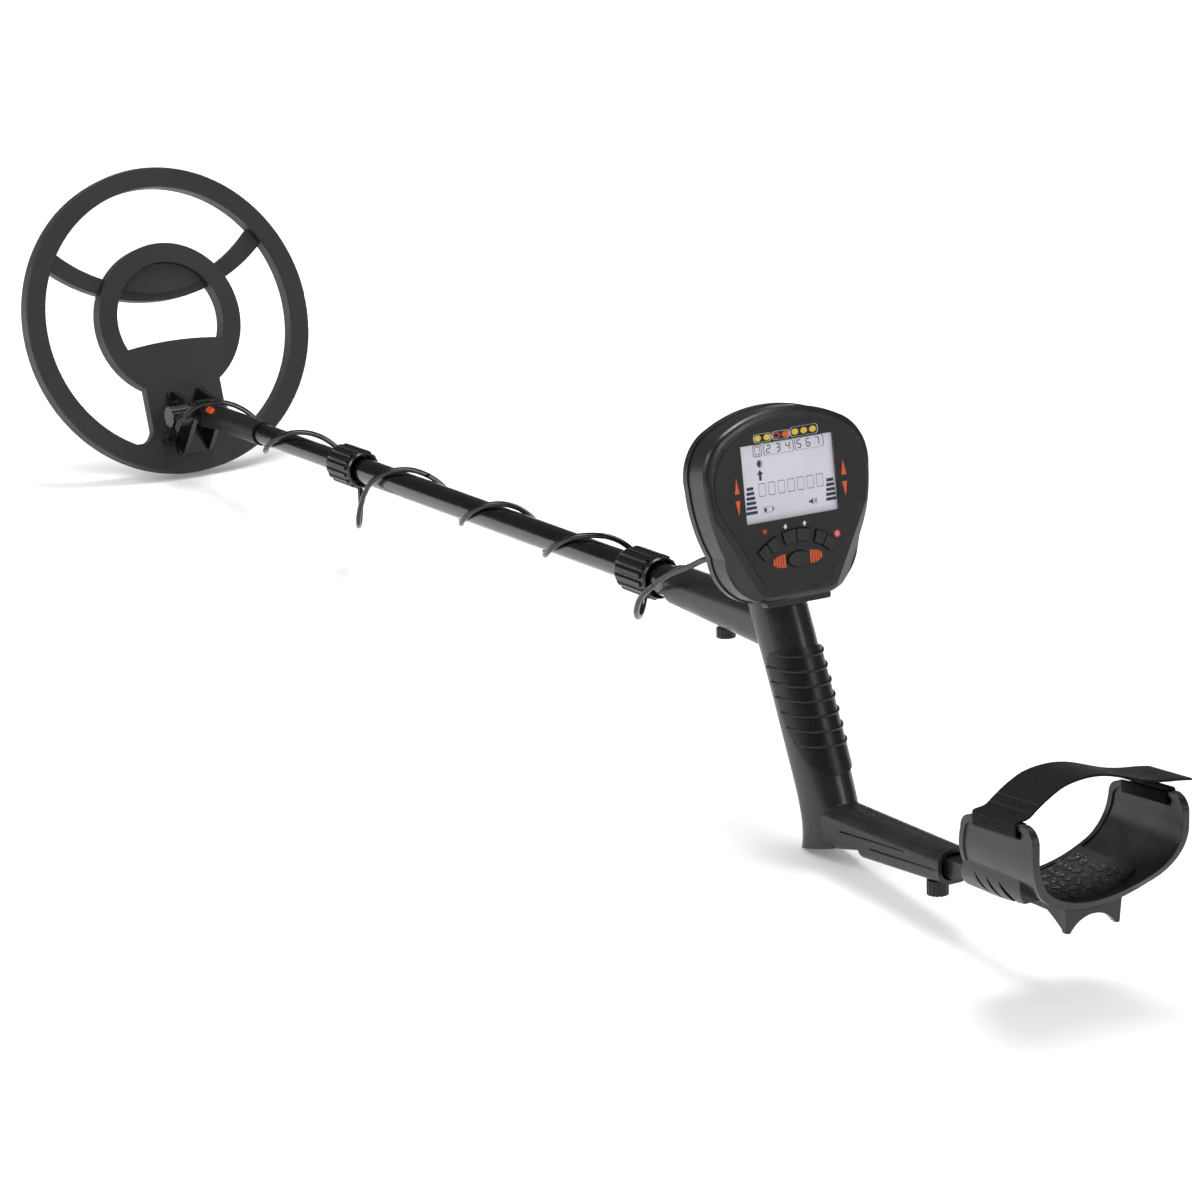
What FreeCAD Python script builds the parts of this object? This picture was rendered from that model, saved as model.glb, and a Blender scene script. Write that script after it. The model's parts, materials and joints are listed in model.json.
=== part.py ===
import FreeCAD, Part
import math
import os
import Sketcher

# Metal detector with a telescoping three-piece stem, an S-shaped handle, a control box, an open
# web search coil and a sliding arm cuff. Millimetres. Every piece is drawn in one of five frames:
# the stem frame (X along the stem towards the user, Z up, origin on the stem's axis), the same
# turned so that Z runs along the stem, the coil frame (Z out of the coil's top face), the box
# frame (X across the screen, Y up it, Z out of it) and the grip frame. The whole object is then
# pitched so that the coil's rim and the heel of the handle stand on one floor.

V = FreeCAD.Vector
document = FreeCAD.newDocument("MetalDetector")
sizes = document.addObject("Spreadsheet::Sheet", "Sizes")

DRIVING = [
    ("coil_radius", 123.4, "outside of the coil's ring"),
    ("coil_ring_width", 16.3, "outer ring, across"),
    ("coil_hub_radius", 61.8, "outside of the inner ring"),
    ("coil_hub_width", 15.5, "inner ring, across"),
    ("coil_shell_height", 8.5, "upper shell of the coil"),
    ("coil_cover_height", 6.5, "lower cover of the coil"),
    ("coil_skin", 2.0, "wall of the coil's shells"),
    ("coil_centre_x", -627.9, "centre of the coil's top face, along the stem"),
    ("coil_centre_z", 67.5, "centre of the coil's top face, above the stem"),
    ("coil_tilt", 71.9, "coil's plane against the stem, degrees"),
    ("hinge_reach", 79.7, "hinge from the coil's centre, in the coil's plane"),
    ("hinge_height", 26.5, "hinge above the coil's top face"),
    ("bolt_radius", 4.0, "hinge bolt's shank"),
    ("tongue_width", 14.0, "tongue of the rod end, between the ears"),
    ("ear_gap", 18.4, "between the two ears"),
    ("ear_thickness", 4.0, "each ear"),
    ("lower_rod_radius", 8.0, "outside of the lower rod"),
    ("middle_rod_radius", 9.5, "outside of the middle rod"),
    ("upper_rod_radius", 11.0, "outside of the upper rod"),
    ("rod_wall", 1.2, "wall of every rod"),
    ("rod_end_start", -562.0, "round part of the rod end, from here"),
    ("rod_end_stop", -478.0, "to here"),
    ("lower_rod_start", -500.0, "lower rod, coil end"),
    ("lower_rod_length", 350.0, "lower rod"),
    ("middle_rod_start", -345.0, "middle rod, coil end"),
    ("middle_rod_length", 495.0, "middle rod"),
    ("upper_rod_start", 74.0, "upper rod, coil end"),
    ("upper_rod_length", 164.0, "upper rod"),
    ("lower_nut_start", -356.0, "lower lock nut, narrow end"),
    ("lower_nut_length", 39.0, "lower lock nut"),
    ("lower_nut_radius", 15.0, "lower lock nut, over its ribs"),
    ("upper_nut_start", 48.0, "upper lock nut, narrow end"),
    ("upper_nut_length", 42.0, "upper lock nut"),
    ("upper_nut_radius", 15.8, "upper lock nut, over its ribs"),
    ("nut_flutes", 16, "grooves round a lock nut"),
    ("socket_start", 111.0, "mouth of the handle's socket"),
    ("socket_radius", 13.6, "outside of the socket's mouth"),
    ("handle_wall", 2.6, "wall of the handle's halves"),
    ("grip_half_depth", 22.0, "grip, front to back"),
    ("grip_half_width", 17.5, "grip, side to side"),
    ("grip_lean", 0.446, "grip's run back for each millimetre down"),
    ("grip_top_x", 233.0, "middle of the grip at the stem's height"),
    ("heel_x", 262.0, "front edge of the handle's heel, along the stem"),
    ("heel_z", -142.0, "heel of the handle, below the stem"),
    ("tail_end", 416.0, "mouth of the rear tube"),
    ("tail_top", -104.8, "top of the rear tube"),
    ("tail_low", -127.5, "underside of the rear tube at its mouth"),
    ("tail_half_width", 13.0, "rear tube, side to side"),
    ("screen_x", 243.1, "middle of the screen, along the stem"),
    ("screen_z", 97.2, "middle of the screen, above the stem"),
    ("screen_lean", 7.6, "screen's lean back, degrees"),
    ("screen_width", 71.5, "visible screen"),
    ("screen_height", 49.6, "visible screen"),
    ("box_front_depth", 20.0, "front shell, face to seam"),
    ("box_back_depth", 15.0, "rear shell, seam to back"),
    ("box_wall", 2.4, "wall of the box"),
    ("key_travel", 1.0, "each key"),
    ("cuff_front", 483.0, "arm cuff, front of its floor"),
    ("cuff_floor_z", -104.5, "underside of the cuff's floor"),
    ("cuff_half_width", 57.0, "cuff, side to side"),
    ("cuff_wall", 2.8, "wall of the cuff"),
    ("foot_x", 551.0, "points of the stand"),
    ("foot_y", 18.4, "points of the stand, either side"),
    ("foot_z", -118.6, "points of the stand, below the stem"),
    ("strap_width", 42.0, "arm strap"),
    ("cable_radius", 2.0, "coil cable"),
]

for row, (alias, value, meaning) in enumerate(DRIVING, start=1):
    sizes.set(f"A{row}", meaning)
    sizes.set(f"B{row}", str(value))
    sizes.setAlias(f"B{row}", alias)
document.recompute()


def size(alias):
    """A driving dimension, as a number."""
    return float(getattr(sizes, alias))


def turned(base=(0, 0, 0), axis=(0, 0, 1), angle=0.0):
    return FreeCAD.Placement(V(*base), FreeCAD.Rotation(V(*axis), angle))


# ---- frames -------------------------------------------------------------------------------

coil_tilt = math.radians(size("coil_tilt"))
RIM_DEPTH = size("coil_shell_height") + size("coil_cover_height") - 2.2
RIM_X = size("coil_centre_x") + (size("coil_radius") - 0.2) * math.cos(coil_tilt)
RIM_Z = size("coil_centre_z") - (size("coil_radius") - 0.2) * math.sin(coil_tilt)
RIM_X -= RIM_DEPTH * math.sin(coil_tilt)
RIM_Z -= RIM_DEPTH * math.cos(coil_tilt)
PITCH = math.degrees(math.atan2(RIM_Z - size("heel_z"), size("heel_x") - RIM_X))

WORLD = turned((52.0, 0, 0), (0, 1, 0), -PITCH)
FLOOR_Z = WORLD.multVec(V(RIM_X, 0, RIM_Z)).z
WORLD = turned((52.0, 0, -FLOOR_Z), (0, 1, 0), -PITCH)

STEM = WORLD
ALONG = WORLD.multiply(turned((0, 0, 0), (0, 1, 0), 90))
COIL = WORLD.multiply(
    turned((size("coil_centre_x"), 0, size("coil_centre_z")), (0, 1, 0), size("coil_tilt"))
)
BOX = WORLD.multiply(turned((size("screen_x"), 0, size("screen_z")), (0, 1, 0), -size("screen_lean")))
BOX = BOX.multiply(FreeCAD.Placement(V(0, 0, 0), FreeCAD.Rotation(V(0, 1, 0), V(0, 0, 1), V(1, 0, 0), "XYZ")))

HINGE_X = size("coil_centre_x") + size("hinge_reach") * math.cos(coil_tilt)
HINGE_X += size("hinge_height") * math.sin(coil_tilt)
HINGE_Z = size("coil_centre_z") - size("hinge_reach") * math.sin(coil_tilt)
HINGE_Z += size("hinge_height") * math.cos(coil_tilt)

# ---- ways of making a sub-part ------------------------------------------------------------

subparts = []


def new_body(name, frame):
    body = document.addObject("PartDesign::Body", name)
    body.Label = name
    body.Placement = frame
    subparts.append(body)
    return body


def new_sketch(body, plane="XY_Plane", lift=0.0):
    """A sketch on one of the body's own planes, lifted along that plane's normal."""
    sketch = body.newObject("Sketcher::SketchObject", "Sketch")
    origin_plane = next(f for f in body.Origin.OriginFeatures if f.Role == plane)
    sketch.AttachmentSupport = [(origin_plane, "")]
    sketch.MapMode = "FlatFace"
    if isinstance(lift, str):
        sketch.setExpression(".AttachmentOffset.Base.z", lift)
    else:
        sketch.AttachmentOffset = turned((0, 0, lift))
    return sketch


def bind(feature, field, value):
    """Sets a size from the sheet where value is an expression, else as a number."""
    if isinstance(value, str):
        feature.setExpression(field, value)
    else:
        setattr(feature, field, value)


def draw_circle(sketch, radius, centre=(0.0, 0.0)):
    start = 1.0 if isinstance(radius, str) else radius
    circle = sketch.addGeometry(Part.Circle(V(centre[0], centre[1], 0), V(0, 0, 1), start), False)
    if centre == (0.0, 0.0):
        sketch.addConstraint(Sketcher.Constraint("Coincident", circle, 3, -1, 1))
    else:
        sketch.addConstraint(Sketcher.Constraint("DistanceX", -1, 1, circle, 3, centre[0]))
        sketch.addConstraint(Sketcher.Constraint("DistanceY", -1, 1, circle, 3, centre[1]))
    rule = sketch.addConstraint(Sketcher.Constraint("Radius", circle, start))
    if isinstance(radius, str):
        sketch.setExpression(f"Constraints[{rule}]", radius)
    return sketch


def draw_outline(sketch, points):
    """A closed outline. A point is (x, y); ((x, y), (x, y)) is an arc through the first to the second."""
    last = points[0]
    for point in list(points[1:]) + [points[0]]:
        if isinstance(point[0], tuple):
            through, end = point
            arc = Part.Arc(V(*last, 0), V(*through, 0), V(*end, 0))
            sketch.addGeometry(arc, False)
            last = end
        elif math.dist(last, point) > 1e-6:
            sketch.addGeometry(Part.LineSegment(V(*last, 0), V(*point, 0)), False)
            last = point
    return sketch


def box_points(x0, y0, x1, y1):
    return [(x0, y0), (x1, y0), (x1, y1), (x0, y1)]


def round_box(half_width, half_height, corner, centre=(0.0, 0.0)):
    """A rectangle with round corners, as eight stretches that start at the lower left."""
    cx, cy = centre
    w, d, r = half_width, half_height, corner
    k = r * (1 - math.sqrt(0.5))
    return [
        (cx - w + r, cy - d),
        (cx + w - r, cy - d),
        ((cx + w - k, cy - d + k), (cx + w, cy - d + r)),
        (cx + w, cy + d - r),
        ((cx + w - k, cy + d - k), (cx + w - r, cy + d)),
        (cx - w + r, cy + d),
        ((cx - w + k, cy + d - k), (cx - w, cy + d - r)),
        (cx - w, cy - d + r),
        ((cx - w + k, cy - d + k), (cx - w + r, cy - d)),
    ]


def pad(body, sketch, length, backwards=False):
    feature = body.newObject("PartDesign::Pad", "Pad")
    feature.Profile = sketch
    bind(feature, "Length", length)
    feature.Reversed = backwards
    sketch.Visibility = False
    return feature


def cut(body, sketch, length, backwards=False):
    """A pocket. It runs against the sketch's normal, or along it when backwards is set."""
    feature = body.newObject("PartDesign::Pocket", "Pocket")
    feature.Profile = sketch
    bind(feature, "Length", length)
    feature.Reversed = backwards
    return feature


def loft(body, sections, hollow=False, ruled=False):
    kind = "PartDesign::SubtractiveLoft" if hollow else "PartDesign::AdditiveLoft"
    feature = body.newObject(kind, "Loft")
    feature.Profile = sections[0]
    feature.Sections = sections[1:]
    feature.Ruled = ruled
    return feature


def revolve(body, sketch, axis="V_Axis", hollow=False):
    kind = "PartDesign::Groove" if hollow else "PartDesign::Revolution"
    feature = body.newObject(kind, "Revolution")
    feature.Profile = sketch
    feature.ReferenceAxis = (sketch, [axis])
    feature.Angle = 360
    return feature


def round_edges(body, radius, chosen):
    """Rounds those edges of the body for which chosen(edge) holds."""
    document.recompute()
    base = body.Tip
    names = [f"Edge{n}" for n, edge in enumerate(base.Shape.Edges, start=1) if chosen(edge)]
    feature = body.newObject("PartDesign::Fillet", "Fillet")
    feature.Base = (base, names)
    bind(feature, "Radius", radius)
    return feature


def rims(height, smallest, largest):
    """Chooses the round edges at this height of the body's own frame, by their radius."""

    def chosen(edge):
        box = edge.BoundBox
        level = abs(box.ZMin - height) < 1e-4 and abs(box.ZMax - height) < 1e-4
        return level and smallest < getattr(edge.Curve, "Radius", 0.0) < largest

    return chosen


def repeat_round(body, feature, count, axis="Z_Axis"):
    pattern = body.newObject("PartDesign::PolarPattern", "Pattern")
    pattern.Originals = [feature]
    line = next(f for f in body.Origin.OriginFeatures if f.Role == axis)
    pattern.Axis = (line, [""])
    pattern.Angle = 360
    pattern.Occurrences = int(count)
    body.Tip = pattern
    return pattern


def tube(name, frame, start, length, outer, inner):
    """A round tube along the frame's Z, as a body. inner None makes it solid."""
    body = new_body(name, frame)
    sketch = new_sketch(body, "XY_Plane", start)
    draw_circle(sketch, outer)
    if inner is not None:
        draw_circle(sketch, inner)
    pad(body, sketch, length)
    return body


def plate(name, frame, outline, low, high, holes=()):
    """A flat plate in the frame's XY plane from low to high, with outlines cut through it."""
    body = new_body(name, frame)
    pad(body, draw_outline(new_sketch(body, "XY_Plane", low), outline), high - low)
    for hole in holes:
        cut(body, draw_outline(new_sketch(body, "XY_Plane", high), hole), high - low)
    return body


def group(name, solids):
    """Several like solids that share one node, such as screws."""
    feature = document.addObject("Part::Feature", name)
    feature.Label = name
    feature.Shape = Part.makeCompound(solids)
    feature.Placement = STEM
    subparts.append(feature)
    return feature


# ---- search coil --------------------------------------------------------------------------

NECK_HALF_WIDTH = 33.0
PLATE_EDGE_X = 17.0
COVER_TOP = "-Sizes.coil_shell_height - 0.3"
BAR_TOP_Z = -5.5
PANEL_TOP_Z = -3.5


def ring_sketch(body, lift, outer, inner):
    sketch = new_sketch(body, "XY_Plane", lift)
    draw_circle(sketch, outer)
    draw_circle(sketch, inner)
    return sketch


def plate_outline(inset=0.0):
    """The flush plate that fills the user's side of the inner ring."""
    edge = PLATE_EDGE_X + inset
    half = math.sqrt((size("coil_hub_radius") - 8.0) ** 2 - (edge + 4) ** 2)
    far = size("coil_hub_radius") - 8.0
    return [(edge + 4, half), ((edge, 0.0), (edge + 4, -half)), ((far, 0.0), (edge + 4, half))]


def neck_outline(inset=0.0):
    """The neck from the plate to the outer ring, with a flare at the ring."""
    half = NECK_HALF_WIDTH - inset
    reach = size("coil_radius") - 8.0
    flare = 105.5 - inset
    return [
        (44.0, -half),
        (86.0, -half),
        ((91.5, -half - 3.0), (flare - 8, -half - 14.0)),
        (reach - 8.0, -half - 14.0),
        ((reach, 0.0), (reach - 8.0, half + 14.0)),
        (flare - 8, half + 14.0),
        ((91.5, half + 3.0), (86.0, half)),
        (44.0, half),
    ]


def make_coil_top_shell():
    body = new_body("coil_top_shell", COIL)
    height = "Sizes.coil_shell_height"
    low = "-Sizes.coil_shell_height"
    depth = size("coil_shell_height") - size("coil_skin")
    pad(body, ring_sketch(body, low, "Sizes.coil_radius", "Sizes.coil_radius - Sizes.coil_ring_width"), height)
    pad(body, draw_outline(new_sketch(body, "XY_Plane", low), neck_outline()), height)
    pad(body, ring_sketch(body, low, "Sizes.coil_hub_radius", "Sizes.coil_hub_radius - Sizes.coil_hub_width"), height)
    pad(body, draw_outline(new_sketch(body, "XY_Plane", low), plate_outline()), height)
    skin = size("coil_skin")
    grooves = [
        (f"Sizes.coil_radius - {skin}", f"Sizes.coil_radius - Sizes.coil_ring_width + {skin}"),
        (f"Sizes.coil_hub_radius - {skin}", f"Sizes.coil_hub_radius - Sizes.coil_hub_width + {skin}"),
    ]
    for outer, inner in grooves:
        cut(body, ring_sketch(body, low, outer, inner), depth, backwards=True)
    cut(body, draw_outline(new_sketch(body, "XY_Plane", low), neck_outline(skin)), depth, backwards=True)
    round_edges(body, 1.6, rims(0.0, 105.0, 125.0))
    return body


def make_coil_bottom_cover():
    """Closes the coil from below. Its low crossbar ties the inner ring to the outer one."""
    body = new_body("coil_bottom_cover", COIL)
    top = -size("coil_shell_height") - 0.3
    low = top - size("coil_cover_height")
    radius = size("coil_radius")
    width = size("coil_ring_width")
    hub = size("coil_hub_radius")
    hub_width = size("coil_hub_width")
    for inner, outer in ((radius - width, radius), (hub - hub_width, hub)):
        section = [
            (inner + 0.2, top),
            (outer - 0.2, top),
            (outer - 0.2, low + 2.5),
            (outer - 2.4, low),
            (inner + 2.4, low),
            (inner + 0.2, low + 2.5),
        ]
        sketch = draw_outline(new_sketch(body, "XZ_Plane"), section)
        revolve(body, sketch)
        if inner > hub:
            pad(body, draw_outline(new_sketch(body, "XY_Plane", low), neck_outline(3.0)), top - low)
            crossbar = [
                (-64.0, -86.0),
                ((-29.0, 0.0), (-64.0, 86.0)),
                (-54.0, 97.0),
                ((-16.4, 0.0), (-54.0, -97.0)),
            ]
            pad(body, draw_outline(new_sketch(body, "XY_Plane", low + 0.8), crossbar), BAR_TOP_Z - low - 0.8)
    pad(body, draw_outline(new_sketch(body, "XY_Plane", low), plate_outline(1.0)), top - low)
    half = math.sqrt(48.0**2 - 30.0**2)
    panel = [(-30.0, -half), ((-22.0, 0.0), (-30.0, half)), ((-48.0, 0.0), (-30.0, -half))]
    pad(body, draw_outline(new_sketch(body, "XY_Plane", low + 0.8), panel), PANEL_TOP_Z - low - 0.8)
    for outer, inner in ((radius + 10, radius - width - 0.4), (hub + 0.4, hub - hub_width - 0.4)):
        cut(body, ring_sketch(body, top, outer, inner), 12.0, backwards=True)
    return body


def make_winding(name, ring_radius, wire_radius):
    """A bundle of enamelled wire, laid in the shell's channel."""
    torus = document.addObject("Part::Torus", name)
    torus.Label = name
    torus.setExpression("Radius1", ring_radius)
    torus.Radius2 = wire_radius
    torus.Placement = COIL.multiply(turned((0, 0, -5.2)))
    subparts.append(torus)
    return torus


GLAND_AT = (95.3, -22.5)


def make_coil_gland():
    """The rubber bush where the cable leaves the coil."""
    body = new_body("coil_cable_gland", COIL.multiply(turned((GLAND_AT[0], GLAND_AT[1], 0))))
    profile = [(0.0, 0.1), (5.0, 0.1), (5.0, 2.0), (3.4, 6.0), (0.0, 6.0)]
    revolve(body, draw_outline(new_sketch(body, "XZ_Plane"), profile))
    return body


# ---- coil hinge ---------------------------------------------------------------------------


def tangent_point(centre, radius, point, side):
    """Where the line from an outer point touches a circle. side is 1 or -1."""
    reach_x = point[0] - centre[0]
    reach_y = point[1] - centre[1]
    angle = math.atan2(reach_y, reach_x) + side * math.acos(radius / math.hypot(reach_x, reach_y))
    return (centre[0] + radius * math.cos(angle), centre[1] + radius * math.sin(angle))


def ear_outline():
    """One ear of the bracket: a round head on a foot that spreads to the plate."""
    head = (size("hinge_reach"), size("hinge_height"))
    radius = 9.0
    far_foot = (108.0, 5.0)
    near_foot = (58.0, 5.0)
    return [
        (58.0, 2.0),
        (108.0, 2.0),
        far_foot,
        tangent_point(head, radius, far_foot, 1),
        ((head[0], head[1] + radius), tangent_point(head, radius, near_foot, -1)),
        near_foot,
    ]


def make_hinge_bracket():
    """Base plate with two ears and their side ribs, screwed to the coil's neck."""
    body = new_body("hinge_bracket", COIL)
    gap = size("ear_gap") / 2
    thick = size("ear_thickness")
    base = round_box(26.0, gap + thick + 3.0, 3.0, (83.0, 0.0))
    pad(body, draw_outline(new_sketch(body, "XY_Plane", 0.1), base), 3.0)
    for side in (-1, 1):
        inner = side * gap
        lift = -(inner + thick) if side > 0 else -inner
        sketch = draw_outline(new_sketch(body, "XZ_Plane", lift), ear_outline())
        pad(body, sketch, thick)
        rib = [(side * (gap + thick - 0.5), 2.0), (side * (gap + thick + 3.0), 2.0), (side * (gap + thick - 0.5), 13.0)]
        for rib_x in (66.0, 79.0, 92.0):
            pad(body, draw_outline(new_sketch(body, "YZ_Plane", rib_x), rib), 2.2)
    hole = new_sketch(body, "XZ_Plane", -40.0)
    draw_circle(hole, "Sizes.bolt_radius + 0.05", (size("hinge_reach"), size("hinge_height")))
    cut(body, hole, 80.0, backwards=True)
    return body


def hinge_frame():
    """Z along the hinge, towards the near side where the knob is."""
    return WORLD.multiply(turned((HINGE_X, 0, HINGE_Z), (1, 0, 0), 90))


def make_hinge_bolt():
    body = new_body("hinge_bolt", hinge_frame())
    head = new_sketch(body, "XY_Plane", -(size("ear_gap") / 2 + size("ear_thickness") + 5.0))
    draw_circle(head, 7.5)
    pad(body, head, 4.9)
    shank = new_sketch(body, "XY_Plane", -(size("ear_gap") / 2 + size("ear_thickness") + 1.0))
    draw_circle(shank, "Sizes.bolt_radius")
    pad(body, shank, 36.0)
    return body


def fluted(name, frame, low, length, outer, bore, flutes, flute_radius, closed=0.0):
    """A round knob or nut with grooves down its side. closed is the thickness of a blind end."""
    body = new_body(name, frame)
    sketch = new_sketch(body, "XY_Plane", low)
    draw_circle(sketch, outer)
    pad(body, sketch, length)
    groove = new_sketch(body, "XY_Plane", low + length)
    draw_circle(groove, flute_radius, (outer + flute_radius * 0.25, 0.0))
    pocket = cut(body, groove, length)
    repeat_round(body, pocket, flutes)
    if bore:
        hole = new_sketch(body, "XY_Plane", low)
        draw_circle(hole, bore)
        cut(body, hole, length - closed, backwards=True)
    return body


def make_hinge_knob():
    low = size("ear_gap") / 2 + size("ear_thickness") + 0.4
    return fluted("hinge_knob", hinge_frame(), low, 17.0, 8.5, size("bolt_radius") + 0.08, 10, 1.5, closed=2.0)


def make_hinge_washers():
    washers = []
    for side in (-1, 1):
        middle = side * (size("tongue_width") / 2 + 1.1)
        washer = Part.makeCylinder(9.0, 1.7, V(HINGE_X, middle - 0.85, HINGE_Z), V(0, 1, 0))
        hole = Part.makeCylinder(size("bolt_radius") + 0.1, 3.0, V(HINGE_X, middle - 1.5, HINGE_Z), V(0, 1, 0))
        washers.append(washer.cut(hole))
    return group("hinge_washers", washers)


# ---- stem ---------------------------------------------------------------------------------


def make_rod_end():
    """Moulded end with a flat tongue for the hinge and a socket for the lower rod."""
    body = new_body("rod_end", STEM)
    barrel = new_sketch(body, "YZ_Plane", "Sizes.rod_end_start")
    draw_circle(barrel, "Sizes.middle_rod_radius")
    pad(body, barrel, "Sizes.rod_end_stop - Sizes.rod_end_start")
    start = size("rod_end_start")
    head = 10.0
    tongue = [
        (HINGE_X, HINGE_Z + head),
        ((HINGE_X - head, HINGE_Z), (HINGE_X, HINGE_Z - head)),
        (start + 10, -8.0),
        (start + 10, 8.0),
    ]
    lift = -size("tongue_width") / 2
    pad(body, draw_outline(new_sketch(body, "XZ_Plane", lift), tongue), "Sizes.tongue_width")
    hole = new_sketch(body, "XZ_Plane", -20.0)
    draw_circle(hole, "Sizes.bolt_radius + 0.06", (HINGE_X, HINGE_Z))
    cut(body, hole, 40.0, backwards=True)
    socket = new_sketch(body, "YZ_Plane", "Sizes.rod_end_stop")
    draw_circle(socket, "Sizes.lower_rod_radius + 0.02")
    cut(body, socket, "Sizes.rod_end_stop - Sizes.lower_rod_start + 0.1")
    return body


MARKER_AT = (-551.5, -46.0)


def make_rod_end_marker():
    """Coloured plug set in the top of the rod end, which shows which way up the end goes in."""
    marker_x, marker_angle = MARKER_AT
    frame = WORLD.multiply(turned((marker_x, 0, 0), (1, 0, 0), -marker_angle))
    body = new_body("rod_end_marker", frame)
    radius = size("middle_rod_radius")
    pad(body, draw_outline(new_sketch(body, "XY_Plane", radius - 0.1), round_box(5.6, 2.5, 2.4)), 1.2)
    return body


def make_rods():
    """Three drawn tubes, each sliding in the next with a clearance of 0.3 mm."""
    names = ("lower", "middle", "upper")
    for name in names:
        outer = f"Sizes.{name}_rod_radius"
        tube(f"{name}_rod", ALONG, f"Sizes.{name}_rod_start", f"Sizes.{name}_rod_length", outer, f"{outer} - Sizes.rod_wall")


def make_lock_nut(name, inner_radius, outer_rod_radius):
    """Twist-lock nut: a narrow end round the inner rod, a cavity for the collet, a plain lip."""
    start = size(f"{name}_nut_start")
    length = size(f"{name}_nut_length")
    radius = size(f"{name}_nut_radius")
    lip = 5.0
    end = start + length
    body = fluted(f"{name}_lock_nut", ALONG, start, length - lip, radius, 0, size("nut_flutes"), 1.9)
    rim = new_sketch(body, "XY_Plane", end - lip)
    draw_circle(rim, radius - 1.4)
    pad(body, rim, lip)
    hole = new_sketch(body, "XY_Plane", start)
    draw_circle(hole, inner_radius + 0.3)
    cut(body, hole, length, backwards=True)
    cavity = new_sketch(body, "XY_Plane", start + 5.0)
    draw_circle(cavity, outer_rod_radius + 2.3)
    cut(body, cavity, length, backwards=True)
    bevels = [
        [(inner_radius + 2.6, start), (radius + 2, start - 0.01), (radius + 2, start + 9.0), (radius, start + 7.0)],
        [(radius - 2.2, end + 0.01), (radius - 1.4, end - 1.6), (radius, end - 1.6), (radius, end + 0.01)],
    ]
    for bevel in bevels:
        revolve(body, draw_outline(new_sketch(body, "XZ_Plane"), bevel), hollow=True)
    return body


def make_lock_parts(name, inner_radius, outer_rod_radius, rod_start):
    """The threaded sleeve on the outer rod's end and the split collet that the nut squeezes."""
    start = size(f"{name}_nut_start")
    length = size(f"{name}_nut_length")
    tube(f"{name}_lock_sleeve", ALONG, rod_start, start + length - 10.0 - rod_start, outer_rod_radius + 2.0, outer_rod_radius + 0.02)
    collet_start = start + 5.4
    body = tube(f"{name}_collet", ALONG, collet_start, rod_start - collet_start - 0.2, outer_rod_radius + 1.4, inner_radius + 0.08)
    slit = draw_outline(new_sketch(body, "XY_Plane", collet_start), box_points(0.0, -0.8, 30.0, 0.8))
    cut(body, slit, 40.0, backwards=True)
    return body


# ---- handle -------------------------------------------------------------------------------


def oval(half_x, half_y, power, centre_x):
    """A closed oval of sixteen arcs about (centre_x, 0). A higher power makes it squarer."""

    def at(step):
        angle = step * math.pi / 16
        c, q = math.cos(angle), math.sin(angle)
        x = half_x * math.copysign(abs(c) ** (2 / power), c)
        y = half_y * math.copysign(abs(q) ** (2 / power), q)
        return (centre_x + x, y)

    return [at(0)] + [(at(step - 1), at(step)) for step in range(2, 33, 2)]


# Level sections down the grip: height, front, back, half width, squareness.
GRIP_LEVELS = [
    (22.0, 200.5, 244.5, 17.0, 2.1),
    (-19.0, 218.8, 263.3, 17.5, 2.1),
    (-60.0, 238.0, 282.0, 17.5, 2.1),
    (-95.0, 253.0, 298.0, 16.8, 2.2),
    (-118.0, 261.0, 306.0, 15.5, 2.5),
    (-142.0, 262.0, 309.0, 14.5, 3.2),
]


def grip_level(z):
    """Front, back, half width and squareness of the grip at height z."""
    for (z0, *upper), (z1, *lower) in zip(GRIP_LEVELS, GRIP_LEVELS[1:]):
        if z1 <= z:
            share = (z0 - z) / (z0 - z1)
            return [u + (w - u) * share for u, w in zip(upper, lower)]
    return list(GRIP_LEVELS[-1][1:])


def draw_grip_section(body, z, shrink):
    """Level section through the leaning grip: an oval that squares up towards the heel."""
    front, back, half, power = grip_level(z)
    outline = oval((back - front) / 2 - shrink * 1.08, half - shrink, power, (front + back) / 2)
    return draw_outline(new_sketch(body, "XY_Plane", z), outline)


def tail_low(x):
    """Height of the rear tube's underside."""
    return size("tail_low") - 0.0556 * (size("tail_end") - x)


def tail_section(body, x, shrink):
    """Upright section through the rear tube: flat sides and round corners."""
    run = (x - 262.0) / (size("tail_end") - 262.0)
    low = tail_low(x)
    middle = (size("tail_top") + low) / 2
    half = (size("tail_top") - low) / 2 - shrink
    width = size("tail_half_width") + 2.0 - 2.0 * run - shrink
    sketch = new_sketch(body, "YZ_Plane", x)
    return draw_outline(sketch, round_box(width, half, 9.5 - shrink, (0.0, middle)))


def socket_section(body, x, shrink):
    """Section through the front socket, which deepens towards the grip."""
    run = (x - size("socket_start")) / (215.0 - size("socket_start"))
    sketch = new_sketch(body, "YZ_Plane", x)
    drop = 2.9 * run
    radius = size("socket_radius") - shrink
    half = radius + drop
    return draw_outline(sketch, round_box(radius, half, radius - 0.4, (0.0, -drop)))


# Two shallow lines engraved in each side of the rear tube, each with the place of its floor.
TAIL_LINES = [
    ([(313.0, -118.0), (381.0, -113.5), (381.0, -112.6), (313.0, -117.1)], 13.0),
    ([(345.0, -121.5), (413.0, -117.5), (413.0, -116.6), (345.0, -120.6)], 12.6),
]


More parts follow.
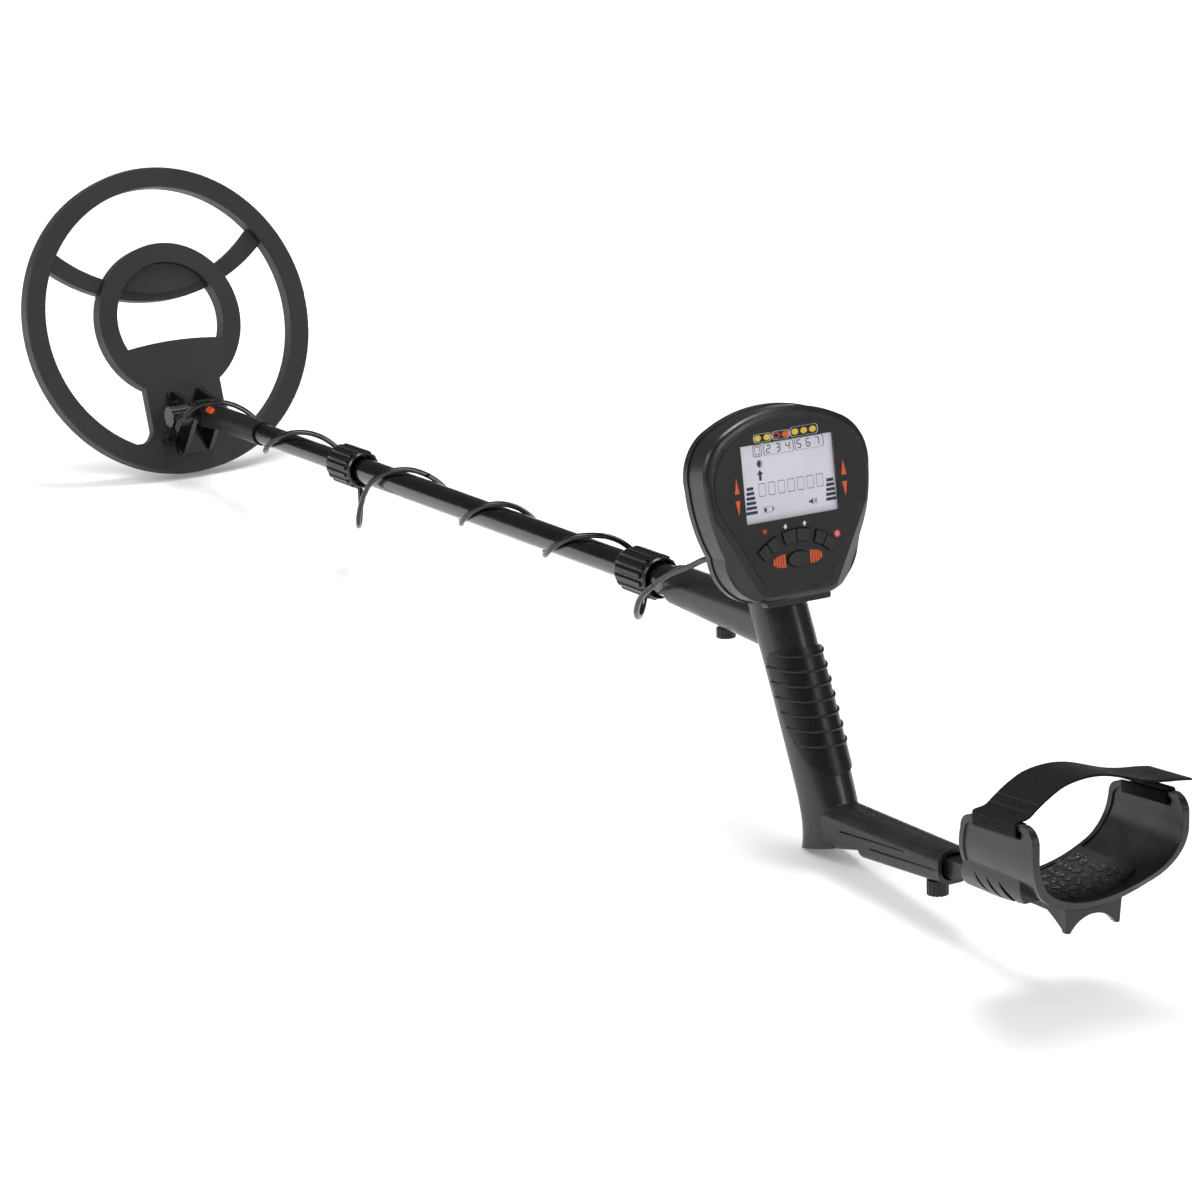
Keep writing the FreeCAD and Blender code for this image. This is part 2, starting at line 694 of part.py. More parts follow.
def make_handle_half(name, side):
    """One half of the handle, moulded with the socket, the grip and the rear tube in one."""
    body = new_body(name, STEM)
    heel = size("heel_z")
    wall = size("handle_wall")
    loft(body, [draw_grip_section(body, level[0], 0.0) for level in GRIP_LEVELS])
    start = size("socket_start")
    loft(body, [socket_section(body, x, 0.0) for x in (start, 228.0)])
    loft(body, [tail_section(body, x, 0.0) for x in (278.0, size("tail_end"))])
    loft(body, [draw_grip_section(body, z, wall) for z in (-24.0, -60.0, -95.0, -118.0, heel + wall)], hollow=True)
    loft(body, [tail_section(body, x, wall + 0.4) for x in (300.0, size("tail_end") + 1.0)], hollow=True)
    bore = new_sketch(body, "YZ_Plane", start - 1.0)
    draw_circle(bore, "Sizes.upper_rod_radius + 0.02")
    cut(body, bore, size("upper_rod_start") + size("upper_rod_length") + 1.5 - start + 1.0, backwards=True)
    seat = [(-78.9, -36.5), (-78.9, -9.4), (-81.1, -9.4), (-81.1, 20.0), (-30.0, 20.0), (-30.0, -36.5)]
    seat = [box_point(0.0, up, out) for up, out in seat]
    sketch = draw_outline(new_sketch(body, "XZ_Plane", -60.0), [(point.x, point.z) for point in seat])
    cut(body, sketch, 120.0, backwards=True)
    stud = new_sketch(body, "XY_Plane", -60.0)
    draw_circle(stud, 3.3, (FRONT_KNOB_X, 0.0))
    cut(body, stud, 52.0, backwards=True)
    stud = new_sketch(body, "XY_Plane", -180.0)
    draw_circle(stud, 3.3, (REAR_KNOB_X, 0.0))
    cut(body, stud, 58.0, backwards=True)
    heel_x = size("heel_x")
    under_heel = [(heel_x, heel), (heel_x + 70.0, heel + 16.8), (heel_x + 70.0, heel - 9.0), (heel_x, heel - 9.0)]
    cut(body, draw_outline(new_sketch(body, "XZ_Plane", -60.0), under_heel), 120.0, backwards=True)
    for line, floor in TAIL_LINES:
        lift = floor if side < 0 else -20.0
        cut(body, draw_outline(new_sketch(body, "XZ_Plane", lift), line), 20.0 - floor, backwards=True)
    other = box_points(90.0, 0.05 * side, 440.0, -60.0 * side)
    cut(body, draw_outline(new_sketch(body, "XY_Plane", -200.0), other), 300.0, backwards=True)
    return body


FRONT_KNOB_X = 166.0
REAR_KNOB_X = 398.0


def make_clamp_knob(name, x, seat_z, stud_top, radius, height):
    """Thumb screw: a fluted knob under the tube, and its stud."""
    frame = WORLD.multiply(turned((x, 0, 0)))
    body = fluted(name, frame, seat_z - height, height, radius, 0, 14, 1.0)
    stud = new_sketch(body, "XY_Plane", seat_z - 1.0)
    draw_circle(stud, 3.0)
    pad(body, stud, stud_top - seat_z + 1.0)
    return body


def make_grip_sleeve():
    """Rubber overlay on the palm's side of the grip, with seven ribs across it."""
    body = new_body("grip_sleeve", STEM)
    loft(body, [draw_grip_section(body, level[0], -1.6) for level in GRIP_LEVELS])
    for rib in range(7):
        pad(body, draw_grip_section(body, -16.0 - 9.0 * rib, -2.5), 1.3)
    loft(body, [draw_grip_section(body, level[0], -0.1) for level in GRIP_LEVELS], hollow=True)
    away = [
        (190.0, 30.0),
        (190.0, -155.0),
        (330.0, -155.0),
        (330.0, -86.5),
        (296.0, -86.5),
        ((284.5, -82.0), (272.5, -72.0)),
        ((256.5, -51.5), (243.5, -27.0)),
        ((241.5, -19.0), (247.0, -14.0)),
        (290.0, -2.0),
        (290.0, 30.0),
    ]
    cut(body, draw_outline(new_sketch(body, "XZ_Plane", -60.0), away), 120.0, backwards=True)
    return body


# ---- control box --------------------------------------------------------------------------

BOX_HALF = [
    ((42.0, -68.0), (52.0, -45.0)),
    ((59.8, -24.0), (63.3, 0.0)),
    ((60.0, 20.5), (44.0, 35.5)),
]
PANEL_HALF = [
    ((33.0, -56.3), (40.0, -43.0)),
    ((49.0, -27.8), (56.0, -15.0)),
    ((58.3, 7.0), (48.0, 25.5)),
]
BOX_CORNER = (24.0, -77.6)
BOX_TOP = (0.0, 46.0)
PANEL_CORNER = (24.5, -70.0)
PANEL_TOP = (0.0, 39.7)


def mirror_points(corner, half, top):
    """A closed outline from its right half: along the bottom, up the right, over and down."""
    points = [(-corner[0], corner[1]), corner] + list(half)
    last = half[-1][1]
    points.append((top, (-last[0], last[1])))
    ends = [corner] + [end for _, end in half]
    for index in range(len(half) - 1, -1, -1):
        through = half[index][0]
        end = ends[index]
        points.append(((-through[0], through[1]), (-end[0], end[1])))
    return points


def scaled(points, factor_x, factor_y, middle_y=-17.0):
    """The outline drawn in towards its middle."""

    def move(point):
        return (point[0] * factor_x, middle_y + (point[1] - middle_y) * factor_y)

    return [tuple(move(q) for q in p) if isinstance(p[0], tuple) else move(p) for p in points]


def inset_box(amount):
    points = mirror_points(BOX_CORNER, BOX_HALF, BOX_TOP)
    return scaled(points, 1 - amount / 63.3, 1 - amount / 63.0)


def inset_panel(amount):
    points = mirror_points(PANEL_CORNER, PANEL_HALF, PANEL_TOP)
    return scaled(points, 1 - amount / 57.0, 1 - amount / 54.9)


KEY_ARC_Y = -78.5
KEY_INNER = 38.0
KEY_OUTER = 46.0
KEYS = [
    ("key_set", -41.0, -31.0),
    ("key_mode", -30.0, -20.0),
    ("key_down", -13.5, -0.5),
    ("key_up", 0.5, 13.5),
    ("key_enter", 20.0, 30.0),
    ("key_power", 31.0, 41.0),
]
OVAL_KEY = (0.3, -51.7, 8.2, 4.8)
FACE_TOP = 0.0
OVERLAY_TOP = 0.5


def key_outline(low, high, grow=0.0):
    """A stretch of the band in which the keys lie, between two angles from the upright."""
    inner = KEY_INNER - grow
    outer = KEY_OUTER + grow
    low = math.radians(low) - grow / outer
    high = math.radians(high) + grow / outer

    def at(radius, angle):
        return (radius * math.sin(angle), KEY_ARC_Y + radius * math.cos(angle))

    middle = (low + high) / 2
    return [
        at(inner, low),
        at(outer, low),
        (at(outer, middle), at(outer, high)),
        at(inner, high),
        (at(inner, middle), at(inner, low)),
    ]


def draw_oval(sketch, grow=0.0):
    x, y, half_width, half_height = OVAL_KEY
    centre = V(x, y, 0)
    major = centre + V(half_width + grow, 0, 0)
    sketch.addGeometry(Part.Ellipse(major, centre + V(0, half_height + grow, 0), centre), False)
    return sketch


def cut_key_holes(body, top, depth):
    for name, low, high in KEYS:
        cut(body, draw_outline(new_sketch(body, "XY_Plane", top), key_outline(low, high, 0.4)), depth)
    cut(body, draw_oval(new_sketch(body, "XY_Plane", top), 0.4), depth)


def screen_outline(grow=0.0):
    half_width = size("screen_width") / 2 + grow
    half_height = size("screen_height") / 2 + grow
    return box_points(-half_width, -half_height, half_width, half_height)


BEVEL_INSET = {-3.4: 0.0, -1.6: 0.9, -0.5: 2.2}
CREASE = ((62.3, -11.8), (22.3, -83.2))


def cheek(body, side, lift, outward):
    """What lies outside the crease beside the keys, drawn further out as it goes down."""
    (x0, y0), (x1, y1) = CREASE
    length = math.dist(*CREASE)
    out = (-(y1 - y0) / length, (x1 - x0) / length)
    corners = []
    for x, y, reach in ((x0, y0, outward), (x1, y1, outward), (x1, y1, 45.0), (x0, y0, 45.0)):
        corners.append((side * (x + out[0] * reach), y + out[1] * reach))
    return draw_outline(new_sketch(body, "XY_Plane", lift), corners)


def make_box_front_shell():
    body = new_body("box_front_shell", BOX)
    depth = size("box_front_depth")
    wall = size("box_wall")
    pad(body, draw_outline(new_sketch(body, "XY_Plane", "-Sizes.box_front_depth"), inset_box(0.0)), depth - 3.4)
    for low, high, inset in ((-3.4, -1.6, 0.9), (-1.6, -0.5, 2.2), (-0.5, FACE_TOP, 4.2)):
        base = draw_outline(new_sketch(body, "XY_Plane", low), inset_box(BEVEL_INSET[low]))
        face = draw_outline(new_sketch(body, "XY_Plane", high), inset_box(inset))
        loft(body, [base, face], ruled=True)
    for side in (-1, 1):
        loft(body, [cheek(body, side, 0.3, 0.0), cheek(body, side, -5.4, 9.5)], hollow=True, ruled=True)
    cavity = draw_outline(new_sketch(body, "XY_Plane", "-Sizes.box_front_depth"), inset_box(wall))
    cut(body, cavity, depth - 9.0, backwards=True)
    inner = draw_outline(new_sketch(body, "XY_Plane", -9.5), inset_panel(wall + 1.5))
    cut(body, inner, 9.5 - wall, backwards=True)
    cut(body, draw_outline(new_sketch(body, "XY_Plane", 1.0), screen_outline(0.2)), 12.0)
    cut_key_holes(body, 1.0, 12.0)
    lip = round_box(24.6, 2.2, 1.9, (0.0, -78.5))
    pad(body, draw_outline(new_sketch(body, "XY_Plane", -9.0), lip), 7.0)
    return body


def make_face_panel():
    """Printed overlay on the face, with holes for the screen and the keys."""
    body = plate("face_panel", BOX, inset_panel(1.2), FACE_TOP + 0.02, OVERLAY_TOP, [screen_outline(0.2)])
    cut_key_holes(body, OVERLAY_TOP, 2.0)
    return body


def make_keys():
    for name, low, high in KEYS:
        plate(name, BOX, key_outline(low, high), -4.4, 1.7)
    body = new_body("key_pinpoint", BOX)
    pad(body, draw_oval(new_sketch(body, "XY_Plane", -4.4)), 6.3)


def make_key_dome():
    """Silicone mat under the keys, with room for their travel."""
    mat = round_box(29.5, 11.0, 6.0, (0.0, -45.5))
    return plate("key_mat", BOX, mat, -7.6, -5.9)


def make_screen():
    plate("screen_window", BOX, screen_outline(), -1.6, OVERLAY_TOP - 0.1)
    plate("display_module", BOX, box_points(-37.5, -26.5, 37.5, 26.5), -7.4, -2.6)


def make_circuit_board():
    board = scaled(mirror_points(BOX_CORNER, BOX_HALF, BOX_TOP), 0.9, 0.9)
    return plate("circuit_board", BOX, board, -11.4, -9.8)


def make_box_rear_shell():
    body = new_body("box_rear_shell", BOX)
    front = size("box_front_depth") + 0.2
    back = size("box_front_depth") + size("box_back_depth")
    wall = size("box_wall")
    pad(body, draw_outline(new_sketch(body, "XY_Plane", -front), inset_box(-0.9)), 5.0, backwards=True)
    sections = [
        draw_outline(new_sketch(body, "XY_Plane", -front - 5.0), inset_box(-0.9)),
        draw_outline(new_sketch(body, "XY_Plane", -back), inset_box(6.0)),
    ]
    loft(body, sections, ruled=True)
    cavity = draw_outline(new_sketch(body, "XY_Plane", -front), inset_box(wall - 0.9))
    cut(body, cavity, 5.0)
    sections = [
        draw_outline(new_sketch(body, "XY_Plane", -front - 4.9), inset_box(wall - 0.9)),
        draw_outline(new_sketch(body, "XY_Plane", -back + wall), inset_box(6.0 + wall)),
    ]
    loft(body, sections, hollow=True, ruled=True)
    cut(body, draw_outline(new_sketch(body, "XY_Plane", -back + 4.0), door_outline(0.3)), 6.0)
    plug = new_sketch(body, "XY_Plane", -back + 4.0)
    draw_circle(plug, 7.1, PORT_AT)
    cut(body, plug, 6.0)
    for column in range(-3, 4):
        for line in range(3):
            hole = new_sketch(body, "XY_Plane", -back + 4.0)
            draw_circle(hole, 1.1, (column * 4.2, 22.0 + line * 4.2))
            cut(body, hole, 6.0)
    jack = new_sketch(body, "YZ_Plane", 50.0)
    draw_circle(jack, 4.6, JACK_AT)
    cut(body, jack, 20.0, backwards=True)
    return body


DOOR_TOP = 12.0
DOOR_LOW = -36.0
PORT_AT = (-23.0, -52.0)
JACK_AT = (18.0, -25.6)


def door_outline(grow=0.0):
    middle = (DOOR_TOP + DOOR_LOW) / 2
    return round_box(29.0 + grow, (DOOR_TOP - DOOR_LOW) / 2 + grow, 2.5, (0.0, middle))


def make_battery_door():
    back = size("box_front_depth") + size("box_back_depth")
    body = plate("battery_door", BOX, door_outline(), -back - 0.6, -back + 1.6)
    for line in range(5):
        groove = box_points(-14.0, 0.0 + line * 2.4, 14.0, 1.2 + line * 2.4)
        cut(body, draw_outline(new_sketch(body, "XY_Plane", -back - 0.6), groove), 0.6, backwards=True)
    return body


def make_batteries():
    """Two nine-volt block batteries, side by side behind the door."""
    cells = []
    back = size("box_front_depth") + size("box_back_depth")
    local = STEM.inverse().multiply(BOX)
    for side in (-1, 1):
        low = V(side * 13.9 - 13.1, -33.0, -back + 3.0)
        cell = Part.makeBox(26.2, 43.0, 16.6, low)
        cell.Placement = local.multiply(cell.Placement)
        cells.append(cell)
    return group("batteries", cells)


def make_battery_contacts():
    """Snap contacts at the batteries' upper ends."""
    contacts = []
    back = size("box_front_depth") + size("box_back_depth")
    local = STEM.inverse().multiply(BOX)
    for side in (-1, 1):
        for step in (-1, 1):
            start = V(side * 13.9 + step * 6.2, 10.1, -back + 11.0)
            contact = Part.makeCylinder(3.4, 2.6, start, V(0, 1, 0))
            contact.Placement = local.multiply(contact.Placement)
            contacts.append(contact)
    return group("battery_contacts", contacts)


def make_speaker():
    back = size("box_front_depth") + size("box_back_depth")
    return tube("speaker", BOX.multiply(turned((0, 24.0, 0))), -back + 3.2, 6.0, 11.5, None)


def make_headphone_jack():
    """3.5 mm socket in the far side of the rear shell."""
    frame = BOX.multiply(turned((0, JACK_AT[0], JACK_AT[1]), (0, 1, 0), 90))
    body = tube("headphone_jack", frame, 46.5, 16.0, 4.4, None)
    hole = new_sketch(body, "XY_Plane", 62.5)
    draw_circle(hole, 1.8)
    cut(body, hole, 14.0)
    return body


def make_cable_socket():
    """Round socket on the back of the box, which takes the coil cable's plug."""
    back = size("box_front_depth") + size("box_back_depth")
    frame = BOX.multiply(turned((PORT_AT[0], PORT_AT[1], -back)))
    return tube("cable_socket", frame, -4.0, 12.0, 6.9, None)


def make_cable_plug():
    """Plug with a knurled ring and a tapered strain relief."""
    back = size("box_front_depth") + size("box_back_depth")
    frame = BOX.multiply(turned((PORT_AT[0], PORT_AT[1], -back - 4.05), (1, 0, 0), 180))
    body = new_body("cable_plug", frame)
    profile = [(0.0, 0.0), (8.0, 0.0), (8.0, 8.0), (5.0, 9.5), (3.2, 20.0), (0.0, 20.0)]
    revolve(body, draw_outline(new_sketch(body, "XZ_Plane"), profile))
    return body


def screw(radius, head_radius, length, base, direction):
    """A pan-head screw: head at base, shank along direction."""
    way = V(*direction)
    way.normalize()
    head = Part.makeCylinder(head_radius, 1.8, V(*base), way)
    shank = Part.makeCylinder(radius, length, V(*base) + way * 1.7, way)
    return head.fuse(shank).removeSplitter()


def make_box_screws():
    """Four screws through the rear shell into the front one."""
    local = STEM.inverse().multiply(BOX)
    screws = []
    for x, y in ((-42.0, 16.0), (42.0, 16.0), (-34.0, -44.0), (36.0, -44.0)):
        item = screw(1.2, 2.6, 12.0, (x, y, -size("box_front_depth") - size("box_back_depth") - 0.4), (0, 0, 1))
        item.Placement = local.multiply(item.Placement)
        screws.append(item)
    return group("box_screws", screws)


def make_handle_screws():
    """Screws that join the handle's halves, in from the far side."""
    places = [(250.0, -40.0, 14.5), (280.0, -112.0, 13.0), (335.0, -127.0, 12.0)]
    screws = [screw(1.3, 2.8, 16.0, (x, y, z), (0, -1, 0)) for x, z, y in places]
    return group("handle_screws", screws)


# ---- arm cuff -----------------------------------------------------------------------------


def cuff_profile(shrink):
    """Section of the trough, from the top of the near wall under the arm to the far one."""
    floor = size("cuff_floor_z")
    half = size("cuff_half_width")
    return [
        (-(half - shrink), -30.0),
        (-(half - shrink), -60.0),
        ((-(53.6 - shrink * 0.9), -76.5 + shrink * 0.2), (-(43.5 - shrink * 0.6), -90.0 + shrink * 0.8)),
        ((0.0, floor + shrink), (43.5 - shrink * 0.6, -90.0 + shrink * 0.8)),
        ((53.6 - shrink * 0.9, -76.5 + shrink * 0.2), (half - shrink, -60.0)),
        (half - shrink, -30.0),
    ]


def turned_back(points):
    """The same open run of an outline, from its end to its start."""
    ends = [point[1] if isinstance(point[0], tuple) else point for point in points]
    back = [ends[-1]]
    for index in range(len(points) - 1, 0, -1):
        point = points[index]
        back.append((point[0], ends[index - 1]) if isinstance(point[0], tuple) else ends[index - 1])
    return back


def trough(body, start, outside, inside):
    """Section between two depths of the trough's wall. 0 is its outer face."""
    section = cuff_profile(outside) + turned_back(cuff_profile(inside))
    return draw_outline(new_sketch(body, "YZ_Plane", start), section)


def cuff_side(inset):
    """The trough's outline from the side: it leans back, and its corners are round."""
    front = size("cuff_front") + inset
    top = -inset
    back = 569.5 - inset
    return [
        (front, -125.0),
        (front, -108.0),
        ((front + 5.5, -95.0), (front + 10.0, -84.0)),
        (front + 16.5, -58.0 + top),
        ((front + 19.0, -51.5 + top), (front + 26.0, -48.5 + top)),
        (back - 14.0, -43.7 + top),
        ((back - 4.0, -45.5 + top), (back, -52.5 + top)),
        (back, -65.0),
        ((back - 4.0, -83.0), (back - 12.0, -97.0)),
        (back - 18.0, -108.0),
        (back - 18.0, -125.0),
    ]


# Slot for the strap in each wall, in the strap's frame.
SLOT = box_points(-22.5, -7.2, 22.5, -2.2)


def strap_frame():
    """X across the strap's width. The strap leans with the tops of the cuff's walls."""
    return turned((534.0, 0, -46.0), (0, 1, 0), -3.0)


def make_arm_cuff():
    """Moulded trough in which the forearm lies: rolled rim, strap slots, vented skirts below."""
    body = new_body("arm_cuff", STEM)
    front = size("cuff_front") - 4.0
    wall = size("cuff_wall")
    length = 96.0
    pad(body, trough(body, front, -1.1, wall + 1.1), length)
    window = draw_outline(new_sketch(body, "XZ_Plane", -80.0), cuff_side(3.4))
    cut(body, window, 160.0, backwards=True)
    for side in (-1, 1):
        skirt = [
            (side * 52.0, -84.0),
            ((side * 46.6, -97.2), (side * 36.0, -103.0)),
            (side * 24.0, -104.4),
            (side * 24.0, -98.9),
            (side * 32.0, -95.4),
            (side * 40.0, -90.7),
            (side * 48.4, -83.0),
            (side * 50.6, -78.0),
            (side * 51.9, -79.0),
        ]
        pad(body, draw_outline(new_sketch(body, "YZ_Plane", front), skirt), 70.0)
    under_skirts = [(488.0, -104.6), (549.0, -95.0), (549.0, -112.0), (488.0, -112.0)]
    cut(body, draw_outline(new_sketch(body, "XZ_Plane", -80.0), under_skirts), 160.0, backwards=True)
    pad(body, trough(body, front, 0.0, wall), length)
    slot = [strap_frame().multVec(V(x, 0, z)) for x, z in SLOT]
    slit_tops = [(505.0, 8.0, 12.5), (516.5, 9.5, 14.0), (528.0, 15.0, 13.0)]
    cuts = [([(point.x, point.z) for point in slot], -80.0, 160.0)]
    for x, run, drop in slit_tops:
        tip = (x + run, -85.5 - drop)
        slit = [
            (x, -85.5),
            ((x + run * 0.30, -85.5 - drop * 0.62), tip),
            ((x + run * 0.52, -85.5 - drop * 0.46), (x, -85.5)),
        ]
        cuts += [(slit, -60.0, 16.0), (slit, 44.0, 16.0)]
    for outline, lift, depth in cuts:
        cut(body, draw_outline(new_sketch(body, "XZ_Plane", lift), outline), depth, backwards=True)
    side = cuff_side(0.0)
    outer = [(440.0, -130.0), (440.0, -10.0), (600.0, -10.0), (600.0, -130.0)]
    frame_sketch = draw_outline(new_sketch(body, "XZ_Plane", -80.0), side)
    draw_outline(frame_sketch, outer)
    cut(body, frame_sketch, 160.0, backwards=True)
    return body


def make_cuff_pad():
    """Rubber pad on the cuff's floor."""
    body = new_body("cuff_pad", STEM)
    floor = size("cuff_floor_z") + size("cuff_wall") + 0.05
    outline = [
        (-36.0, floor + 10.4),
        ((0.0, floor), (36.0, floor + 10.4)),
        (35.0, floor + 12.4),
        ((0.0, floor + 2.2), (-35.0, floor + 12.4)),
    ]
    pad(body, draw_outline(new_sketch(body, "YZ_Plane", size("cuff_front") + 11.5), outline), 52.0)
    return body


def make_cuff_stalk():
    """Bar that carries the cuff and slides in the rear tube. It is lower where it slides."""
    body = new_body("cuff_stalk", STEM)
    outline = [
        (352.0, -122.0),
        (424.0, -122.0),
        (440.0, -115.5),
        (536.0, -115.5),
        (540.0, -111.0),
        (540.0, -104.65),
        (490.0, -104.65),
        (484.0, -109.6),
        (352.0, -109.6),
    ]
    pad(body, draw_outline(new_sketch(body, "XZ_Plane", -7.0), outline), 14.0)
    return body


def make_cuff_screws():
    floor = size("cuff_floor_z") + size("cuff_wall") - 1.8
    screws = [screw(1.8, 3.6, 10.0, (x, 0.0, floor + 0.0), (0, 0, -1)) for x in (502.0, 528.0)]
    return group("cuff_screws", screws)


def make_stand():
    """Transverse plate under the cuff with two points and their front ribs."""
    body = new_body("stand_foot", STEM)
    x = size("foot_x")
    y = size("foot_y")
    tip = size("foot_z")
    floor = size("cuff_floor_z")
    edge = floor + 71.0 - math.sqrt(71.0**2 - 21.5**2) - 0.1
    outline = [
        (-21.5, edge),
        ((-20.6, -109.0), (-y - 1.2, tip)),
        (-y + 1.2, tip),
        ((0.0, -109.5), (y - 1.2, tip)),
        (y + 1.2, tip),
        ((20.6, -109.0), (21.5, edge)),
        ((0.0, floor - 0.1), (-21.5, edge)),
    ]
    pad(body, draw_outline(new_sketch(body, "YZ_Plane", x - 3.5), outline), 5.0)
    for side in (-1, 1):
        middle = side * y
        rib = [(x + 0.5, tip), (x + 0.5, -101.0), (x - 40.0, -101.0), ((x - 14.0, -110.0), (x - 1.0, tip))]
        sketch = draw_outline(new_sketch(body, "XZ_Plane", -middle - 1.6), rib)
        pad(body, sketch, 3.2)
    under = [(-40.0, -60.0), (-40.0, floor + 12.0), ((0.0, floor - 0.1), (40.0, floor + 12.0)), (40.0, -60.0)]
    cut(body, draw_outline(new_sketch(body, "YZ_Plane", x - 60.0), under), 80.0, backwards=True)
    under = [(-40.0, -60.0), (-40.0, floor + 10.8), ((0.0, floor - 1.3), (40.0, floor + 10.8)), (40.0, -60.0)]
    cut(body, draw_outline(new_sketch(body, "YZ_Plane", x - 4.0), under), 20.0, backwards=True)
    return body


def make_arm_strap():
    """Woven strap over the forearm. Each end loops round the bar above a slot of the cuff."""
    body = new_body("arm_strap", WORLD.multiply(strap_frame()))
    out = size("cuff_half_width") + 1.5
    bar = size("cuff_half_width") - size("cuff_wall") - 1.5
    web = 1.5
    outline = [
        (-out - web, -7.0),
        (-bar + web, -7.0),
        (-bar + web, 1.6),
        ((-49.0, 2.8), (-46.0, 5.4)),
        ((-36.0, 11.6), (-23.8, 17.4)),
        ((-8.0, 20.0), (7.6, 18.6)),
        ((22.0, 14.4), (35.0, 10.0)),
        (bar - web, 1.4),
        (bar - web, -7.0),
        (out + web, -7.0),
        (out + web, 3.4),
        (bar, 3.4),
        (40.6, 8.9),
        ((58.0, 6.1), (72.3, 4.5)),
        (72.5, 6.0),
        ((58.0, 7.6), (43.4, 10.0)),
        ((25.0, 15.2), (8.0, 20.2)),
        ((-8.0, 21.6), (-24.5, 18.8)),
        ((-37.0, 12.8), (-47.0, 6.4)),
        ((-52.0, 3.9), (-out - web, 3.4)),
    ]
    section = draw_outline(new_sketch(body, "YZ_Plane", -size("strap_width") / 2), outline)
    for side in (-1, 1):
        near, far = sorted((side * out, side * bar))
        draw_outline(section, box_points(near, -5.5, far, 1.9))
    pad(body, section, "Sizes.strap_width")
    return body


# ---- coil cable ---------------------------------------------------------------------------


def round_stem(x, turn, radius):
    """A point beside the stem. turn is in degrees: 0 below it, 90 on the near side, 180 on top."""
    angle = math.radians(turn)
    return V(x, -radius * math.sin(angle), -radius * math.cos(angle))


def wrap(stops, spacing):
    """Points of a winding through (x, turn, radius) stops, about one spacing apart."""
    points = []
    for (x0, turn0, radius0), (x1, turn1, radius1) in zip(stops, stops[1:]):
        round_it = math.radians(turn1 - turn0) * (radius0 + radius1) / 2
        steps = max(2, round(math.hypot(x1 - x0, round_it) / spacing))
        for step in range(steps):
            share = step / steps
            place = (x0 + (x1 - x0) * share, turn0 + (turn1 - turn0) * share)
            points.append(round_stem(*place, radius0 + (radius1 - radius0) * share))
    return points + [round_stem(*stops[-1])]


def rounded_path(points):
    """Straight runs joined by tangent arcs, as one wire, with the smallest arc's radius."""
    edges = []
    smallest = math.inf
    last = points[0]
    for before, corner, after in zip(points, points[1:], points[2:]):
        back = before - corner
        on = after - corner
        shorter = min(back.Length, on.Length)
        turn = math.pi - back.getAngle(on)
        reach = 0.45 * shorter
        radius = reach / math.tan(turn / 2)
        smallest = min(smallest, radius)
        back.normalize()
        on.normalize()
        enter = corner + back * reach
        leave = corner + on * reach
        middle = back + on
        middle.normalize()
        bulge = radius / math.cos(turn / 2) - radius
        edges.append(Part.LineSegment(last, enter).toShape())
        edges.append(Part.Arc(enter, corner + middle * bulge, leave).toShape())
        last = leave
    edges.append(Part.LineSegment(last, points[-1]).toShape())
    return Part.Wire(edges), smallest


def make_cable(name, points):
    """A stretch of the coil's cable: one round section swept along its rounded route."""
    route, smallest = rounded_path(points)
    radius = size("cable_radius")
    start = (points[1] - points[0]).normalize()
    ring = Part.Wire(Part.Circle(points[0], start, radius).toShape())
    solid = route.makePipeShell([ring], True, False)
    ratio = solid.Volume / (math.pi * radius * radius * route.Length)
    print(f"{name}: {route.Length:.0f} mm long, smallest bend {smallest:.0f} mm, volume ratio {ratio:.3f}")
    feature = document.addObject("Part::Feature", name)
    feature.Label = name
    feature.Shape = solid
    feature.Placement = STEM
    subparts.append(feature)
    return feature


def coil_point(x, y, z):
    return STEM.inverse().multiply(COIL).multVec(V(x, y, z))


def box_point(x, y, z):
    return STEM.inverse().multiply(BOX).multVec(V(x, y, z))


# The cable's winding round the stem: place along it, turn, and distance from its axis.
CABLE_STOPS = [
    (-546.0, 180.0, 13.9),
    (-518.0, 242.0, 13.4),
    (-473.0, 360.0, 12.6),
    (-413.0, 540.0, 12.6),
    (-385.0, 612.0, 14.0),
    (-368.0, 652.0, 20.0),
    (-354.0, 692.0, 34.0),
    (-344.5, 706.0, 41.5),
    (-329.0, 720.0, 45.5),
    (-315.5, 731.0, 40.0),
    (-306.0, 743.0, 30.0),
    (-299.0, 755.0, 22.5),
    (-291.0, 777.0, 17.0),
    (-276.0, 826.0, 13.6),
    (-252.0, 900.0, 13.0),
    (-175.0, 1080.0, 12.8),
    (-117.0, 1260.0, 12.8),
    (-61.0, 1440.0, 12.8),
    (3.0, 1620.0, 13.0),
    (22.0, 1678.0, 16.5),
    (36.0, 1742.0, 24.0),
    (48.0, 1778.0, 30.5),
    (60.0, 1800.0, 33.0),
    (73.0, 1820.0, 29.5),
    (85.0, 1845.0, 24.5),
    (96.0, 1870.0, 21.8),
    (107.0, 1890.0, 21.0),
]
CABLE_CUTS = [("cable_coil_lead", -478.0), ("cable_lower_turn", -232.0), ("cable_middle_turn", 110.0)]
CABLES = ("cable_coil_lead", "cable_lower_turn", "cable_middle_turn", "cable_box_lead")


